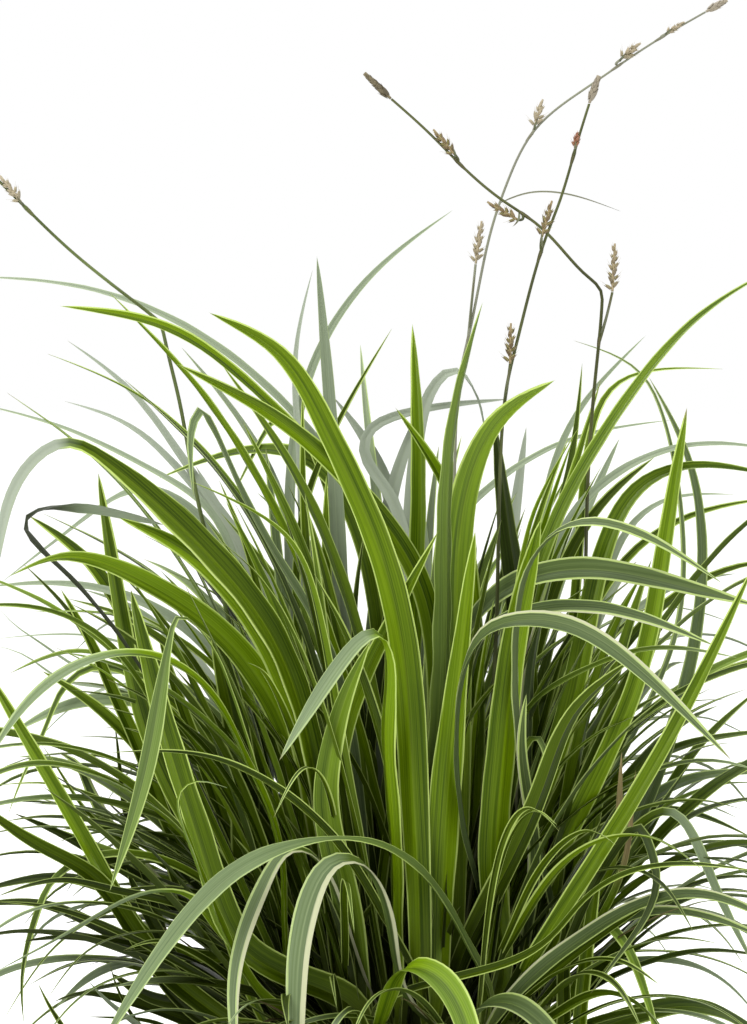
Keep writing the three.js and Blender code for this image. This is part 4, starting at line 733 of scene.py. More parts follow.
def add_free_leaf(surface, shoot, draw, kind, crowd):
    """Adds an extra blade to a shoot where there is room for it, and returns its path."""
    points, heading_out, widest = free_path(shoot, draw, kind)
    shares = np.linspace(0, 1, 20 if kind in ("short", "dry") else 26) ** CROWDED
    path, heading, length = smooth_path(points, shares)
    half = np.maximum(widest * blade_outline(shares), THINNEST)
    x, z = seen_at(path[-1])
    open_corner = z < 75 and (x > 70 or x > 40 and path[-1, 1] < 0.08) or z < 40 and x < -115
    straying = (abs(x + 12) / 200) ** 2.5 + (max(z, 0) / 262) ** 2.5 > 1
    if open_corner or straying or not is_clear(path, half, crowd):
        return None
    level = np.cross(heading_out, UP)
    outside = np.cross(level, heading)
    turn = draw.uniform(-0.6, 0.6) + draw.uniform(-0.9, 0.9) * (1 - smooth(shares, 0, 0.7))
    normal = outside * np.cos(turn)[:, None] - level * np.sin(turn)[:, None]
    dry = draw.uniform(0.75, 1) if kind == "dry" else 0.0
    finish = list(finish_for(path[-1], draw)[0])
    # Painted shade: extra blades are darkened as they stand inside the clump, the leftward ones most, low at its left.
    finish[SHADE] = min(0.85, finish[SHADE] + (0.5 if kind == "leftward" else 0.28))
    add_blade(surface, path, heading, normal, half, finish, length, draw, dry=dry)
    return path


def add_sheath(surface, shoot, draw):
    """Adds a shoot's sheath: a bluntly three-cornered sleeve whose radius falls to its neck and closes over the top,
    with a lapped edge that winds up it."""
    rows, columns = 22, 26
    share, angle = np.linspace(0, 1, rows), around(columns)
    heights = -SHEATH_BURIED + (shoot.neck + 3 * MM + SHEATH_BURIED) * share
    radius = SHEATH_RADIUS + (SHEATH_NECK - SHEATH_RADIUS) * smooth(share, 0.2, 1)
    radius = radius * np.sqrt(np.clip(1 - smooth(share, 0.88, 1.02) ** 1.5, 0.03, 1))
    lap = np.mod(angle + 2.2 * share[:, None] + draw.uniform(0, 6), 2 * math.pi) / (2 * math.pi)
    swell = 1 - 0.06 * smooth(lap, 0.0, 1.0) + 0.04 * np.cos(3 * angle + draw.uniform(0, 6))
    reach = radius[:, None] * swell * 0.98
    centre = shoot.axis(heights)
    rings = centre[:, None] + triple(np.cos(angle), np.sin(angle), 0) * reach[..., None]
    along = np.append(np.repeat(heights, columns), heights[[0, -1]]) / MM
    foot = np.clip(1 - (along + 2) / (shoot.neck / MM + 4), 0, 1)
    values = {
        "place": triple(0, np.append(np.tile(angle * 4, rows), [0, 0]), along),
        "look": triple(draw.uniform(0.4, 0.8), 0.2, 0.9 * foot),
        "age": triple(0.25 * foot, 0, 0),
        # The third number is painted shade: the sheaths are darkened, more towards their foot, where the clump shades
        # them.
        "chance": triple(draw.uniform(0, 1), draw.uniform(0, 1), 0.35 + 0.3 * foot),
    }
    surface.tube(rings, centre[[0, -1]], values, over=True)


def over_rim(path):
    """A blade's path lifted where it would pass the pot's rim too low, and its headings."""
    radius = np.hypot(path[:, 0], path[:, 1])
    lack = np.maximum(0, POT_HEIGHT + 2.5 * MM - path[:, 2])
    within = smooth(radius, POT_RIM - 32 * MM, POT_RIM - 8 * MM)
    beyond = smooth(radius, POT_RIM + 8 * MM, POT_RIM + 42 * MM)
    path = path + UP * (lack * within * (1 - beyond))[:, None]
    return path, unit(np.gradient(path, axis=0))


def add_more_blade(shoots, surfaces, plan, draw, crowd, used):
    """Adds a blade of the table to the shoot that suits it, at the depth near the planned one with the most room.
    Its depth runs evenly from the shoot's to the tip's; its face is turned from the eye towards its upper side."""
    width, depth, finish, turn, route = plan
    route = np.array(pairs(route))
    low = route[0, 1] < 40
    starts = [shoot.start(low) for shoot in shoots]

    def unsuited(number):
        """How badly a shoot suits the blade: how far off it starts, and how many such blades it has already."""
        start = starts[number]
        away = np.linalg.norm(seen_at(start) - route[0]) + 0.4 * abs(start[1] / MM - 0.35 * depth)
        return away + 7 * used[number]

    number = min(range(len(shoots)), key=unsuited)
    start = starts[number]
    run = run_along(np.concatenate([[seen_at(start)], route]))
    shares = np.linspace(0, 1, 40) ** CROWDED
    best = None
    for aside in (0, 6, -6, 12, -12, 20, -20):
        depths = start[1] / MM + (depth + aside - start[1] / MM) * run / run[-1]
        knots = [start] + [seen(x, z, y) for (x, z), y in zip(route, depths[1:])]
        path, heading, length = smooth_path(knots, shares)
        room = min(crowd.find(point)[2] for point in path[14:])
        if best is None or room > best[0] * 1.15:
            best = room, path, heading, length
        if room > 1.1 * MM + 0.15 * width * MM:
            break
    _, path, heading, length = best
    if low:
        path, heading = over_rim(path)
    used[number] += 1
    turn = math.radians(turn)
    half = np.maximum(0.5 * width * MM / math.cos(turn) * blade_outline(shares, 5 < width < 12), THINNEST)
    to_eye = unit(TO_FRONT - heading * (heading @ TO_FRONT)[:, None])
    upper = np.cross(heading, to_eye)
    upper = upper * np.where(upper[:, 2:] + 0.3 * np.sign(upper[-1, 2]) < 0, -1, 1)
    normal = unit(eased(to_eye * math.cos(turn) + upper * math.sin(turn)))
    dry = 0.85 if finish == "straw" else 0.0
    add_blade(surfaces[number], path, heading, normal, half, FINISHES[finish], length, draw, dry=dry)
    return path


EXTRA_KINDS = ["upright", "arching", "low", "short", "upright", "arching", "short", "upright", "upright", "dry"]
LEFT_KINDS = ["leftward"] * 3
TRIES = 12  # for each extra blade


def crowd_of(paths):
    """The points of blades' paths, ready to be searched."""
    points = np.concatenate(paths)
    crowd = KDTree(len(points))
    for i, point in enumerate(points):
        crowd.insert(point, i)
    crowd.balance()
    return crowd


def make_shoots(material):
    """Every shoot as one piece: its sheath, its leaves made fine, and extra thin and dry blades."""
    draw = np.random.default_rng(LEAF_SEED)
    shoots = [Shoot(number) for number in range(SHOOT_COUNT)]
    surfaces = [Surface() for _ in shoots]
    paths = []
    for shoot, surface in zip(shoots, surfaces):
        add_sheath(surface, shoot, draw)
        for tip, rings in find_leaves(shoot.points, shoot.faces):
            paths.append(add_cad_leaf(surface, shoot, tip, rings, draw))
    crowd = crowd_of(paths)
    used = [0] * SHOOT_COUNT
    for plan in MORE_BLADES:
        paths.append(add_more_blade(shoots, surfaces, plan, draw, crowd, used))
    for shoot, surface in zip(shoots, surfaces):
        crowd = crowd_of(paths)
        for kind in EXTRA_KINDS + (LEFT_KINDS if shoot.foot[0] < -2 * MM else []):
            for _ in range(TRIES):
                path = add_free_leaf(surface, shoot, draw, kind, crowd)
                if path is not None:
                    paths.append(path)
                    break
    for shoot, surface in zip(shoots, surfaces):
        make_piece(shoot.node.replace("shoot", "leafy_shoot"), surface, material, [shoot.node], sharp=60)


# ---------------------------------------------------------------- flower stems


def near_stem(stem, x, z, aside=0):
    """A point on or near a stem as the eye sees it: the stem leans more and more towards its top's depth."""
    depth = stem["root"][1] + (stem["depth"] - stem["root"][1]) * (max(z, 0) / STEM_HEIGHT) ** STEM_SWAY
    return seen(x, z, depth + aside)


def add_rod(surface, points, radii, sides, corners, rows, values):
    """Adds a rod along a smooth path: radius times 1 + corners * cos(3 angle), closed at both ends."""
    shares, angle = np.linspace(0, 1, rows), around(sides)
    path, heading, length = smooth_path(points, shares)
    side = unit(np.cross(heading, TO_FRONT))
    front = np.cross(side, heading)
    radius = np.interp(shares, np.linspace(0, 1, len(radii)), radii)
    reach = radius[:, None] * (1 + corners * np.cos(3 * angle))
    ring = side[:, None] * np.cos(angle)[:, None] + front[:, None] * np.sin(angle)[:, None]
    turn = np.append(np.tile(angle, rows), [0, 0])
    along = np.append(np.repeat(shares * length / MM, sides), [0, 0])
    place = triple(0, turn, along)
    surface.tube(path[:, None] + ring * reach[..., None], path[[0, -1]], {"place": place, **values})


def spike_ends(stem, route, aside):
    """The two ends of a spike."""
    (x0, z0), (x1, z1) = pairs(route)
    return near_stem(stem, x0, z0, aside), near_stem(stem, x1, z1, aside)


def make_stem(name, stem, material):
    """A flower stem with its stalks, the papery sheaths where they leave it, and the narrow bract where it has one."""
    draw = np.random.default_rng(len(name) * 7 + 3)
    surface = Surface()
    x, y = (value * MM for value in stem["root"])
    points = [[x, y, SOIL_TOP - STEM_BURIED], [x * 1.06, y * 1.06, SOIL_TOP + 30 * MM]]
    points += [near_stem(stem, px, pz) for px, pz in pairs(stem["route"])]
    slim, greenness, pale = STEM_LOOKS[name]
    chance = draw.uniform(0, 1), draw.uniform(0, 1), 0
    look = {"look": (greenness, 0.3, pale), "age": (0.25, 0, 0.5), "chance": chance}
    browned = dict(look, age=(0.66, 0, 0.5))
    add_rod(surface, points, np.array([STEM_FOOT, 1.05 * MM, 0.85 * MM, STEM_TOP]) * slim, 12, 0.09, 130, look)
    line = smooth_path(points, np.linspace(0, 1, PATH_STEPS))[0]

    def add_bract(route, rows, half, normal, finish, dry):
        """Adds a narrow blade along a route, with its face turned one way all along."""
        shares = np.linspace(0, 1, rows)
        path, heading, length = smooth_path(route, shares)
        half = np.maximum(half * leaf_outline(shares), 0.04 * MM)
        add_blade(surface, path, heading, np.tile(normal, (rows, 1)), half, finish, length, draw, dry=dry)

    for _, ends, off, aside in stem["spikes"]:
        if off is None:
            continue
        start_at, end_at = spike_ends(stem, ends, aside)
        joint = near_stem(stem, *off)
        bow = joint + (start_at - joint) * 0.55 - unit(end_at - start_at) * 1.2 * MM
        add_rod(surface, [joint, bow, start_at], [STALK * 1.2, STALK], 8, 0, 24, look)
        nearest = int(np.argmin(np.linalg.norm(line - joint, axis=1)))
        climb = unit(line[min(nearest + 6, PATH_STEPS - 1)] - line[nearest - 6])
        wrap = [line[nearest] - climb * 4 * MM, line[nearest], line[nearest] + climb * 3 * MM]
        add_rod(surface, wrap, np.array([0.7, 0.92, 0.95, 0.6]) * slim * MM, 10, 0.05, 14, browned)
        tip = joint + (start_at - joint) * 0.7 + unit(start_at - joint) * 5 * MM + TO_FRONT * 1.2 * MM
        route = [joint + climb * 2 * MM, (joint + tip) / 2 + TO_FRONT * 1.5 * MM, tip]
        add_bract(route, 16, 0.55 * MM, TO_FRONT, (0.4, 0.3, 0.3, 0.1, 0, 0), 0.7)
    if "bract" in stem:
        route = [near_stem(stem, px, pz, 4 * i) for i, (px, pz) in enumerate(pairs(stem["bract"]))]
        add_bract(route, 30, 0.6 * MM, unit(TO_FRONT + UP), (0.2, 0.8, 0.4, 0.0, 0.2, 0), 0.0)
    make_piece(f"flower_stem_{name}", surface, material, [f"culm_{name}"], sharp=60)


FLORETS = {
    "seed": {"length": 6.4 * MM, "half": 1.15 * MM, "lift": 0.84, "core": 0.8 * MM, "pitch": 2.25 * MM},
    "bud": {"length": 4.4 * MM, "half": 0.9 * MM, "lift": 0.6, "core": 0.6 * MM, "pitch": 1.9 * MM},
    "pollen": {"length": 5.8 * MM, "half": 1.7 * MM, "lift": 0.22, "core": 1.6 * MM, "pitch": 2.2 * MM},
}


# How far each spike of a stem is bleached.
BLEACHED = {"left": (0.9, 0.9), "front": (0, 0, 0, 0.35), "middle": (0.6, 0, 0, 0), "back": (0.7, 0.7, 0.9, 0.7, 0.7)}


def egg(rows, columns, length, wide, flat, beak):
    """A floret: radius sin(pi (s / (1 - beak))^0.85)^0.8 along its length, drawn out to a thin beak and flattened."""
    share, angle = np.linspace(0, 1, rows), around(columns)
    body = np.sin(math.pi * np.clip(share / (1 - beak), 0, 1) ** 0.85) ** 0.8
    radius = np.maximum(body, 0.16 * (1 - share) + 0.03)[:, None]
    points = triple(wide * radius * np.cos(angle), length * share[:, None], flat * radius * np.sin(angle))
    points = np.concatenate([points.reshape(-1, 3), [[0, 0, 0], [0, length * 1.02, 0]]])
    return points, tube_faces(rows, columns), np.append(np.repeat(share, columns), [0, 1])


def make_spike(name, stem, number, spike, materials):
    """A spike: a core rod under florets on a golden-angle spiral, each with a pointed scale below it."""
    kind, ends, _, aside = spike
    pollen = kind == "pollen"
    long, half, most_lift, thick, pitch = (FLORETS[kind][key] for key in ("length", "half", "lift", "core", "pitch"))
    draw = np.random.default_rng(number * 31 + len(name))
    surface = Surface()
    start, end = spike_ends(stem, ends, aside)
    axis = unit(end - start)
    start = start + axis * 0.3 * MM
    side = unit(np.cross(TO_FRONT, axis))
    front = np.cross(axis, side)
    pale = BLEACHED[name][number]
    blush = 0.55 if kind == "bud" and name == "middle" else 0.0
    core = [start, start + (end - start) * 0.3, start + (end - start) * 0.93]
    values = {"look": (0.3, blush, pale), "age": (0.6, 0, 0.5), "chance": (0.5, 0.5, 0)}
    add_rod(surface, core, [STALK, thick * 0.8, thick * 0.55], 8, 0, 12, values)
    room = np.linalg.norm(end - start) - long * 0.75
    total = int(max(7, round(room / pitch) + 2) * (2.6 if pollen else 1.75))

    def add(points, faces, run, least, is_scale):
        """Adds a floret or a scale with draws for its tone, from the least on, and its chance."""
        tone = draw.uniform(least, 1)
        chance = draw.uniform(0, 1), draw.uniform(0, 1), 0
        values = {"place": triple(0, 0, run), "look": (tone, blush, pale), "age": (is_scale, 0, 0), "chance": chance}
        surface.add(foot + points @ basis, faces, values)

    for i in range(total):
        share = i / (total - 1)
        out = side * math.cos(i * GOLDEN_ANGLE) + front * math.sin(i * GOLDEN_ANGLE)
        lift = most_lift * (1 - 0.65 * share) * draw.uniform(0.8, 1.2)
        along = axis * math.cos(lift) + out * math.sin(lift)
        grown = 0.8 + 0.2 * math.sin(math.pi * min(1, share + 0.25))
        grown = grown * (1 - (0.45 if pollen else 0.2) * share) * draw.uniform(0.88, 1.08)
        foot = start + axis * (1 * MM + room * share * 0.94) + out * thick * 0.35
        width_way = unit(np.cross(out, along))
        basis = np.stack([width_way, along, np.cross(width_way, along)])
        if not pollen:
            add(*egg(8, 7, long * grown, half * grown * 0.74, half * grown * 0.6, 0.42), 0.3, 0)
        shape, faces, run = egg(6, 7, long * grown * (0.95 if pollen else 0.72), half * 0.95 * grown, 0.16 * MM, 0.12)
        shape[:, 2] += 0.55 * shape[:, 0] ** 2 / half - (0.25 if pollen else 0.62) * half
        add(shape, faces, run, 0, 1)
    look = "pollen" if pollen else "seed"
    node = f"spike_{name}_{number + 1}"
    make_piece(f"{look}_{node}", surface, materials[look], [node], sharp=70)


# ---------------------------------------------------------------- pot and soil


def turned_surface(profile, sides):
    """Rings of points turned round the axis from radius, height pairs: cos, sin of each angle times the radius."""
    profile, angle = np.asarray(profile, float), around(sides)
    return triple(profile[:, :1] * np.cos(angle), profile[:, :1] * np.sin(angle), profile[:, 1:])


def rounded(profile, radius):
    """A profile with each inner corner replaced by five points of a small curve: (1 - t)^2 a + 2t(1 - t) corner +
    t^2 b, from a on the side before it to b on the side after it."""
    profile = [np.array(p, float) for p in profile]
    out = [profile[0]]
    for before, corner, after in zip(profile, profile[1:], profile[2:]):
        back = min(radius, 0.45 * np.linalg.norm(before - corner), 0.45 * np.linalg.norm(after - corner))
        a = corner + unit(before - corner) * back
        b = corner + unit(after - corner) * back
        for t in np.linspace(0, 1, 5):
            out.append((1 - t) ** 2 * a + 2 * t * (1 - t) * corner + t**2 * b)
    out.append(profile[-1])
    return np.array(out)


def make_pot(material):
    """The pot: a smooth turned body with a band under its rim, a foot recess and round drain holes."""
    band = POT_HEIGHT - BAND_HEIGHT
    under = POT_BASE + (POT_RIM - BAND_STEP - POT_BASE) * band / POT_HEIGHT
    small = 0.01 * MM
    profile = [
        (small, 0),
        (POT_BASE - 4 * MM, 0),
        (POT_BASE - 1 * MM, 1.2 * MM),
        (POT_BASE, 4 * MM),
        (under, band),
        (POT_RIM - 1.2 * MM, band + 1.6 * MM),
        (POT_RIM, POT_HEIGHT - 1.4 * MM),
        (POT_RIM - 1.2 * MM, POT_HEIGHT),
        (POT_RIM - POT_WALL, POT_HEIGHT),
        (POT_RIM - POT_WALL - 1 * MM, POT_HEIGHT - 1.4 * MM),
        (POT_RIM - POT_WALL - 2 * MM, band + 2.5 * MM),
        (under - POT_WALL, band - 1.5 * MM),
        (POT_BASE - POT_WALL + 0.6 * MM, POT_FLOOR + 3 * MM),
        (POT_BASE - POT_WALL - 3 * MM, POT_FLOOR),
        (small, POT_FLOOR),
    ]
    surface = Surface()
    wall = turned_surface(rounded(profile, 1.4 * MM), 180)
    surface.tube(wall, [[0, 0, 0], [0, 0, POT_FLOOR]], {}, over=True)
    pot = make_piece("growers_pot", surface, material, ["pot"], sharp=50)
    holes = Surface()
    plug = turned_surface([(DRAIN_RADIUS, -2 * POT_FLOOR), (DRAIN_RADIUS, 2 * POT_FLOOR)], 40)
    caps = np.array([[0, 0, -2 * POT_FLOOR], [0, 0, 2 * POT_FLOOR]])
    for angle in around(DRAIN_COUNT):
        centre = np.array([DRAIN_CIRCLE * math.cos(angle), DRAIN_CIRCLE * math.sin(angle), 0])
        holes.tube(plug + centre, caps + centre, {}, over=True)
    cutter = bpy.data.objects.new("drain_holes", holes.mesh("drain_holes"))
    bpy.context.scene.collection.objects.link(cutter)
    cut = pot.modifiers.new("drain holes", "BOOLEAN")
    cut.object = cutter
    cut.operation = "DIFFERENCE"
    cut.solver = "EXACT"
    bpy.context.view_layer.update()
    opened = bpy.data.meshes.new_from_object(pot.evaluated_get(bpy.context.evaluated_depsgraph_get()))
    pot.modifiers.clear()
    pot.data = opened
    bpy.data.objects.remove(cutter)


def soil_height(x, y):
    """Height of the soil: a low dome with soft lumps, as in the CAD node, and small crumbs of three sizes."""
    x, y = x / MM, y / MM
    dome = 2.5 * np.cos(np.hypot(x, y) / (POT_RIM / MM) * 2.2)
    lumps = 0.9 * np.sin(x * 0.13 + 1) * np.cos(y * 0.11) + 0.7 * np.sin(x * 0.07 - y * 0.19)
    crumbs = 0
    for k, size in enumerate([0.55, 0.4, 0.3]):
        rate = 0.55 * 1.9**k
        turn = 1.1 * k + 0.4
        u = x * math.cos(turn) - y * math.sin(turn)
        v = x * math.sin(turn) + y * math.cos(turn)
        wave = np.sin(u * rate + 1.3 * np.sin(v * rate * 0.7)) * np.sin(v * rate + 1.7 * np.sin(u * rate * 0.6))
        crumbs = crumbs + size * wave
    return (SOIL_TOP / MM - 1.6 + dome + lumps + crumbs) * MM


def make_soil(material):
    """The soil: a crumbly top on a plug that fills the pot, with loose crumbs and bits of bark on it."""
    draw = np.random.default_rng(SOIL_SEED)
    surface = Surface()

    def inner(z):
        """Radius of the soil at a height: the pot's taper, less its wall and a small gap."""
        return POT_BASE + (POT_RIM - BAND_STEP - POT_BASE) * z / POT_HEIGHT - POT_WALL - 1.2 * MM

    low = POT_FLOOR + 0.3 * MM
    edge = inner(SOIL_TOP - 12 * MM)
    side = [(0.01 * MM, low), (inner(low) - 3.4 * MM, low), (inner(low + 4 * MM), low + 4 * MM)]
    side.append((edge, SOIL_TOP - 8 * MM))
    rings = turned_surface(side + [(edge * share, SOIL_TOP) for share in np.linspace(1, 0.002, 110)], 200)
    top = rings[len(side) :]
    top[..., 2] = soil_height(top[..., 0], top[..., 1])
    surface.tube(rings, [[0, 0, low], [0, 0, soil_height(0.0, 0.0)]], {"look": (0.3, 0, 0)}, over=True)
    for _ in range(CRUMB_COUNT):
        radius = edge * 0.97 * math.sqrt(draw.uniform(0, 1))
        angle = draw.uniform(0, 2 * math.pi)
        x, y = radius * math.cos(angle), radius * math.sin(angle)
        size = draw.uniform(0.7, 2.4) * MM
        chip = draw.uniform(0, 1) < 0.3
        shape, faces, _ = egg(6, 7, size * (2.4 if chip else 1.5), size * 0.8, size * (0.3 if chip else 0.7), 0.05)
        shape[:, 1] -= shape[:, 1].mean()
        shape = shape * draw.uniform(0.75, 1.2, shape.shape)
        turn = draw.normal(size=(3, 3))
        basis, _ = np.linalg.qr(turn)
        if chip:
            basis = np.stack([unit([turn[0, 0], turn[0, 1], 0.15]), unit([-turn[0, 1], turn[0, 0], 0.1]), UP])
        basis[2] *= np.sign(np.linalg.det(basis))
        place = np.array([x, y, soil_height(x, y) + size * 0.25])
        surface.add(place + shape @ basis, faces, {"look": (draw.uniform(0, 1), 1, 0)})
    make_piece("potting_soil", surface, material, ["soil"], sharp=50)


# ---------------------------------------------------------------- materials


class Nodes:
    """A node tree with short calls that place and join its nodes."""

    def __init__(self, tree):
        self.tree = tree

    def node(self, kind, inputs=None, **settings):
        """Adds a node, sets it, and fills its inputs with numbers or links."""
        made = self.tree.nodes.new("ShaderNode" + kind)
        for key, value in settings.items():
            setattr(made, key, value)
        for key, value in (inputs or {}).items():
            self.fill(made.inputs[key], value)
        return made

    def fill(self, socket, value):
        """Puts a number or a link into a socket."""
        if isinstance(value, bpy.types.NodeSocket):
            self.tree.links.new(value, socket)
        else:
            socket.default_value = value

    def math(self, operation, first, second=0.0, third=0.0):
        """A number worked out from up to three others."""
        return self.node("Math", {0: first, 1: second, 2: third}, operation=operation).outputs[0]

    def times(self, first, second):
        """The product of two numbers."""
        return self.math("MULTIPLY", first, second)

    def times_plus(self, first, second, third):
        """The product of two numbers, and a third added."""
        return self.math("MULTIPLY_ADD", first, second, third)

    def minus(self, first, second):
        """The first number less the second."""
        return self.math("SUBTRACT", first, second)

    def mix(self, share, first, second):
        """A colour between two others."""
        made = self.node("Mix", data_type="RGBA", clamp_factor=True)
        for socket, value in ((0, share), (6, first), (7, second)):
            self.fill(made.inputs[socket], value)
        return made.outputs[2]

    def coats(self, base, *coats):
        """A colour under others, each laid over what comes before it by its share."""
        for share, coat in coats:
            base = self.mix(share, base, coat)
        return base

    def ramp(self, value, low, high, start=0.0, end=1.0):
        """A number run smoothly from start at low to end at high."""
        inputs = {0: value, 1: low, 2: high, 3: start, 4: end}
        return self.node("MapRange", inputs, interpolation_type="SMOOTHSTEP").outputs[0]

    def parts(self, name):
        """The three numbers of a vector attribute."""
        return self.split(self.node("Attribute", attribute_name=name).outputs["Vector"])

    def split(self, vector):
        """The three numbers of a vector."""
        return self.node("SeparateXYZ", {0: vector}).outputs

    def where(self):
        """The place on the piece."""
        return self.node("TexCoord").outputs["Object"]

    def vector(self, x, y, z):
        """A vector of three numbers."""
        return self.node("CombineXYZ", {0: x, 1: y, 2: z}).outputs[0]

    def noise(self, vector, scale, detail=3.0, rough=0.55, spread=0.0):
        """Smooth noise about 0.5."""
        inputs = {"Vector": vector, "Scale": scale, "Detail": detail, "Roughness": rough, "Distortion": spread}
        return self.node("TexNoise", inputs).outputs["Fac"]


class Shader(Nodes):
    """The nodes of a new material."""

    def __init__(self, name):
        self.material = bpy.data.materials.new(name)
        self.material.use_nodes = True
        super().__init__(self.material.node_tree)

    def finish(self, colour, roughness, height=None, bump=0.2, distance=0.001, specular=None):
        """Joins colour, roughness and a bump to the surface, and sets how strongly it mirrors."""
        surface = self.tree.nodes["Principled BSDF"].inputs
        self.fill(surface["Base Color"], colour)
        self.fill(surface["Roughness"], roughness)
        if height is not None:
            made = self.node("Bump", {"Strength": bump, "Distance": distance, "Height": height})
            self.fill(surface["Normal"], made.outputs["Normal"])
        if specular is not None:
            surface["Specular IOR Level"].default_value = specular
        return self.material


def colour(red, green, blue):
    """A colour from 0 to 255 values as screens show them."""
    values = np.array([red, green, blue]) / 255
    linear = np.where(values <= 0.04045, values / 12.92, ((values + 0.055) / 1.055) ** 2.4)
    return (*linear.tolist(), 1.0)


def vein_group():
    """Fine lengthwise veins: noise stretched along the piece, from the place across (mm), along (mm) and a chance."""
    tree = bpy.data.node_groups.new("lengthwise veins", "ShaderNodeTree")
    for label, default in (("Across", 0.0), ("Along", 0.0), ("Chance", 0.5), ("Fineness", 2.0)):
        socket = tree.interface.new_socket(label, in_out="INPUT", socket_type="NodeSocketFloat")
        socket.default_value = default
    for label in ("Fine", "Broad"):
        tree.interface.new_socket(label, in_out="OUTPUT", socket_type="NodeSocketFloat")
    s = Nodes(tree)
    across, along, chance, fineness = tree.nodes.new("NodeGroupInput").outputs[:4]
    result = tree.nodes.new("NodeGroupOutput").inputs
    for label, scaled, stretch, detail in (("Fine", fineness, 0.012, 2.0), ("Broad", 0.55, 0.009, 1.0)):
        place = s.vector(s.times(across, scaled), s.times(along, stretch), s.times(chance, 53.0))
        s.fill(result[label], s.noise(place, 1.0, detail, 0.5))
    return tree


def streaked(s, veins, wide, along, chance, fineness):
    """The fine and the broad lengthwise streaks of a piece."""
    made = s.node("Group", node_tree=veins)
    for key, value in (("Across", wide), ("Along", along), ("Chance", chance), ("Fineness", fineness)):
        s.fill(made.inputs[key], value)
    return made.outputs["Fine"], made.outputs["Broad"]


def leaf_material(veins):
    """A blade: green streaked along its veins, one half painted lighter than the other as if lit across its fold, waxy
    bloom with some painted sheen and haze, light margins, a pale foot, straw where it is dry, and painted shade."""
    s = Shader("sedge leaf")
    across, wide, along = s.parts("place")
    tone, bloom, pale = s.parts("look")
    dry, margin, share = s.parts("age")
    chance, second, shade = s.parts("chance")
    fine, broad = streaked(s, veins, wide, along, chance, 2.4)
    # Painted light: one half of the blade, picked at random, is painted lighter as if its fold were lit from that side;
    # the broad streaks add real tone.
    side = s.times(across, s.math("SIGN", s.minus(second, 0.5)))
    light = s.math("ADD", s.ramp(side, -0.05, 0.05, 0.0, 0.55), s.ramp(broad, 0.35, 0.65, 0.0, 0.45))
    deep = s.mix(tone, colour(24, 35, 0), colour(56, 80, 0))
    green = s.mix(tone, colour(46, 60, 0), colour(106, 135, 2))
    bright = s.mix(tone, colour(66, 88, 6), colour(142, 168, 36))
    waxy = s.mix(s.ramp(fine, 0.3, 0.7), colour(98, 116, 78), colour(119, 135, 100))
    edge = s.math("ABSOLUTE", across)
    rib = s.mix(bloom, colour(122, 142, 40), colour(150, 160, 126))
    lean = s.times_plus(s.minus(second, 0.5), s.times(across, 0.1), edge)
    ragged = s.times_plus(s.minus(fine, 0.5), 0.16, lean)
    inner = s.minus(1.0, margin)
    rim = s.ramp(ragged, s.minus(inner, 0.07), s.math("ADD", inner, 0.05))
    cream = s.mix(s.times(bloom, 0.8), colour(178, 198, 106), colour(156, 172, 126))
    cream = s.mix(s.ramp(s.times(margin, s.math("ABSOLUTE", wide)), 0.75, 1.1), cream, colour(184, 186, 150))
    straw = s.mix(fine, colour(86, 72, 46), colour(162, 144, 106))
    tip = s.ramp(s.times_plus(second, 0.06, share), 1.03, 1.06, 0.0, 0.7)
    aged = s.math("MAXIMUM", dry, tip)
    leaf = s.coats(
        deep,
        (light, green),
        (s.ramp(fine, 0.35, 0.75, 0.0, 0.34), bright),
        # Bloom and paleness are the real waxy bloom together with painted sheen where the blade droops and where it
        # turns past its arch, and painted haze on blades at the back.
        (s.times(bloom, 0.85), waxy),
        (s.times(pale, 0.92), colour(144, 152, 136)),
        (s.ramp(edge, 0.02, 0.07, 0.22, 0.0), rib),
        (s.times(rim, s.times_plus(pale, -0.8, 0.9)), cream),
        (s.ramp(share, 0.0, 0.16, 0.4, 0.0), colour(118, 134, 46)),
        (aged, straw),
        # Painted shade: near black laid over where the clump shades the blade.
        (s.times(shade, 0.8), colour(16, 20, 2)),
    )
    rough = s.times_plus(aged, 0.25, s.times_plus(bloom, 0.06, 0.4))
    return s.finish(leaf, rough, fine, bump=0.22, distance=0.0004, specular=0.09)


def stem_material(veins):
    """A flower stem: dark olive with fine lines, paler at the back as a painted haze, red-brown where a papery sheath
    wraps it.
    """
    s = Shader("flower stem")
    _, wide, along = s.parts("place")
    tone, _, pale = s.parts("look")
    dry, chance = s.parts("age")[0], s.parts("chance")[0]
    fine, broad = streaked(s, veins, wide, along, chance, 3.0)
    patch = s.noise(s.vector(0.0, chance, s.times(along, 0.02)), 1.0)
    stem = s.coats(
        s.mix(tone, colour(40, 38, 20), colour(62, 76, 30)),
        (s.ramp(patch, 0.35, 0.65), s.mix(tone, colour(66, 66, 32), colour(92, 108, 58))),
        (s.ramp(fine, 0.45, 0.7, 0.0, 0.35), colour(122, 128, 84)),
        # Painted haze: the back stem is laid over with pale grey.
        (s.times(pale, 0.9), colour(140, 140, 126)),
        (s.ramp(dry, 0.5, 0.9), s.mix(fine, colour(56, 46, 28), colour(104, 92, 62))),
    )
    return s.finish(stem, s.ramp(broad, 0.3, 0.7, 0.42, 0.58), fine, bump=0.3, distance=0.0003, specular=0.2)


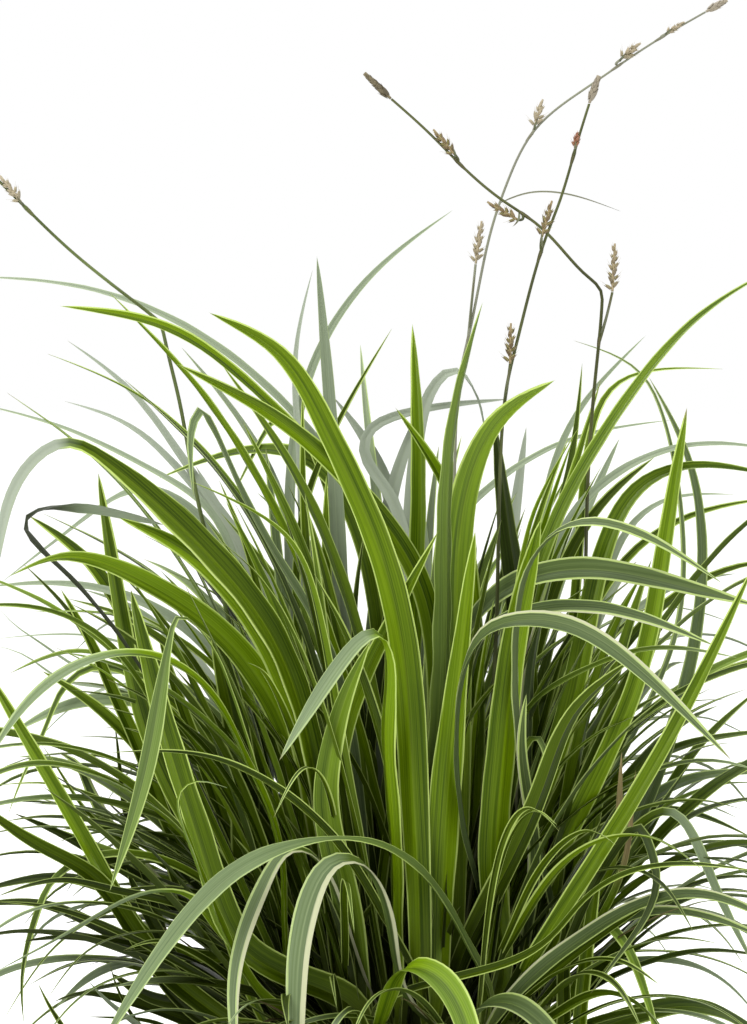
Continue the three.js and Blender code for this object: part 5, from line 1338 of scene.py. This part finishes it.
def spike_material(name, pale_colour, body, beak, scale_light, scale_dark):
    """A spike: each floret runs from its body's colour to its beak's, each scale from light edges to a dark middle."""
    s = Shader(name)
    along = s.parts("place")[2]
    tone, blush, pale = s.parts("look")
    is_scale, chance = s.parts("age")[0], s.parts("chance")[0]
    speck = s.noise(s.where(), 1400.0)
    floret = s.mix(s.ramp(along, 0.55, 0.95), body, beak)
    floret = s.mix(s.times(tone, 0.45), floret, colour(150, 142, 100))
    husk = s.mix(s.times_plus(speck, 0.5, s.times(chance, 0.5)), scale_dark, scale_light)
    husk = s.mix(s.ramp(along, 0.75, 1.0, 0.0, 0.5), husk, scale_light)
    both = s.coats(
        floret,
        (is_scale, husk),
        (s.ramp(speck, 0.55, 0.75, 0.0, 0.4), scale_dark),
        (blush, colour(150, 84, 66)),
        (s.times(pale, 0.8), pale_colour),
    )
    return s.finish(both, s.ramp(speck, 0.3, 0.7, 0.52, 0.72), speck, bump=0.4, distance=0.0003)


def soil_material():
    """Moist peaty soil with paler bark and fibres."""
    s = Shader("potting soil")
    tone, loose, _ = s.parts("look")
    where = s.where()
    grain, patch = s.noise(where, 420.0, 6.0, 0.65), s.noise(where, 60.0, 3.0)
    bark = s.mix(tone, colour(40, 28, 20), colour(122, 88, 58))
    earth = s.coats(
        colour(26, 18, 13),
        (s.ramp(patch, 0.35, 0.65), colour(52, 38, 27)),
        (s.ramp(grain, 0.55, 0.75), colour(86, 64, 44)),
        (loose, s.mix(s.ramp(grain, 0.4, 0.7), bark, colour(70, 50, 34))),
    )
    return s.finish(earth, s.ramp(grain, 0.3, 0.7, 0.75, 0.98), grain, bump=0.7, distance=0.0012)


def pot_material():
    """Moulded charcoal plastic: a fine grain, faint turning marks, scuffs, and dust towards the foot and rim."""
    s = Shader("moulded plastic")
    where = s.where()
    height = s.times(s.split(where)[2], 1000.0)
    grain, cloud = s.noise(where, 1500.0, 2.0), s.noise(where, 22.0, 4.0)
    marks = s.noise(s.vector(0.0, 0.0, s.times(height, 0.9)), 1.0, 2.0)
    drawn_out = s.node("VectorMath", {0: where, 1: (90.0, 90.0, 900.0)}, operation="MULTIPLY").outputs[0]
    scuff = s.noise(drawn_out, 1.0, 4.0, 0.7, 0.6)
    low_dust = s.minus(0.5, s.ramp(height, 0.0, 26.0, 0.0, 0.5))
    dust = s.math("ADD", low_dust, s.ramp(height, 138.0, 150.0, 0.0, 0.22))
    base = s.coats(
        colour(36, 37, 39),
        (s.ramp(cloud, 0.35, 0.65), colour(44, 45, 47)),
        (s.ramp(scuff, 0.6, 0.75, 0.0, 0.3), colour(88, 88, 88)),
        (s.times(dust, s.ramp(cloud, 0.3, 0.7)), colour(118, 104, 86)),
    )
    rough = s.math("ADD", s.ramp(cloud, 0.3, 0.7, 0.36, 0.5), s.ramp(scuff, 0.55, 0.8, 0.0, 0.18))
    relief = s.math("ADD", s.times(grain, 0.5), s.times(marks, 0.5))
    return s.finish(base, rough, relief, bump=0.16, distance=0.0005)


# ---------------------------------------------------------------- the scene


def make_stage():
    """A plain pale floor."""
    mesh = bpy.data.meshes.new("floor")
    reach, level = 9.0, -0.2 * MM
    corners = [(-reach, -reach, level), (reach, -reach, level), (reach, reach, level), (-reach, reach, level)]
    mesh.from_pydata(corners, [], [(0, 1, 2, 3)])
    floor = bpy.data.objects.new("floor", mesh)
    bpy.context.scene.collection.objects.link(floor)
    s = Shader("pale floor")
    mesh.materials.append(s.finish(s.mix(s.noise(s.where(), 6.0), colour(250, 250, 250), colour(246, 246, 246)), 0.8))


def add_area(name, place, target, size, power):
    """A square soft light at a place, turned to a target."""
    light = bpy.data.lights.new(name, "AREA")
    light.shape = "SQUARE"
    light.size = size
    light.energy = power
    lamp = bpy.data.objects.new(name, light)
    bpy.context.scene.collection.objects.link(lamp)
    lamp.location = place
    lamp.rotation_euler = (Vector(target) - Vector(place)).to_track_quat("-Z", "Y").to_euler()


def make_light():
    """A white room, brighter overhead, with a large soft lamp above and a weaker one in front."""
    world = bpy.data.worlds.new("white room")
    bpy.context.scene.world = world
    world.use_nodes = True
    s = Nodes(world.node_tree)
    background = world.node_tree.nodes["Background"].inputs
    up = s.split(s.node("TexCoord").outputs["Generated"])[2]
    s.fill(background["Strength"], s.ramp(up, 0.1, 0.95, 1.0, 1.3))
    background["Color"].default_value = (1, 1, 1, 1)
    add_area("overhead lamp", (-0.3, 0.7, 2.4), (0, 0, 0.35), 1.3, 32)
    add_area("front lamp", (-0.9, -1.7, 2.0), (0, 0, 0.3), 1.0, 34)
    bpy.context.scene.view_settings.view_transform = "Standard"


def make_camera():
    """The camera at the eye: the picture's height takes in the view height at the plant's axis."""
    lens = bpy.data.cameras.new("camera")
    lens.sensor_fit = "VERTICAL"
    lens.sensor_height = 24
    lens.lens = 24 * EYE_DISTANCE / VIEW_HEIGHT
    lens.clip_end = 30
    camera = bpy.data.objects.new("camera", lens)
    bpy.context.scene.collection.objects.link(camera)
    camera.location = EYE
    camera.rotation_euler = (math.pi / 2 - EYE_ELEVATION, 0, 0)
    bpy.context.scene.camera = camera


make_camera()
make_light()
make_stage()

veins = vein_group()
make_shoots(leaf_material(veins))
stem_look = stem_material(veins)
spike_colours = {
    "seed": [(168, 158, 134), (110, 104, 52), (164, 146, 106), (142, 122, 86), (70, 54, 30)],
    "pollen": [(160, 151, 134), (84, 76, 46), (122, 108, 78), (112, 102, 74), (50, 42, 26)],
}
spike_looks = {
    kind: spike_material(f"{kind} spike", *(colour(*values) for values in rows)) for kind, rows in spike_colours.items()
}
for stem_name, stem_plan in STEMS.items():
    make_stem(stem_name, stem_plan, stem_look)
    for spike_number, spike_plan in enumerate(stem_plan["spikes"]):
        make_spike(stem_name, stem_plan, spike_number, spike_plan, spike_looks)
make_pot(pot_material())
make_soil(soil_material())
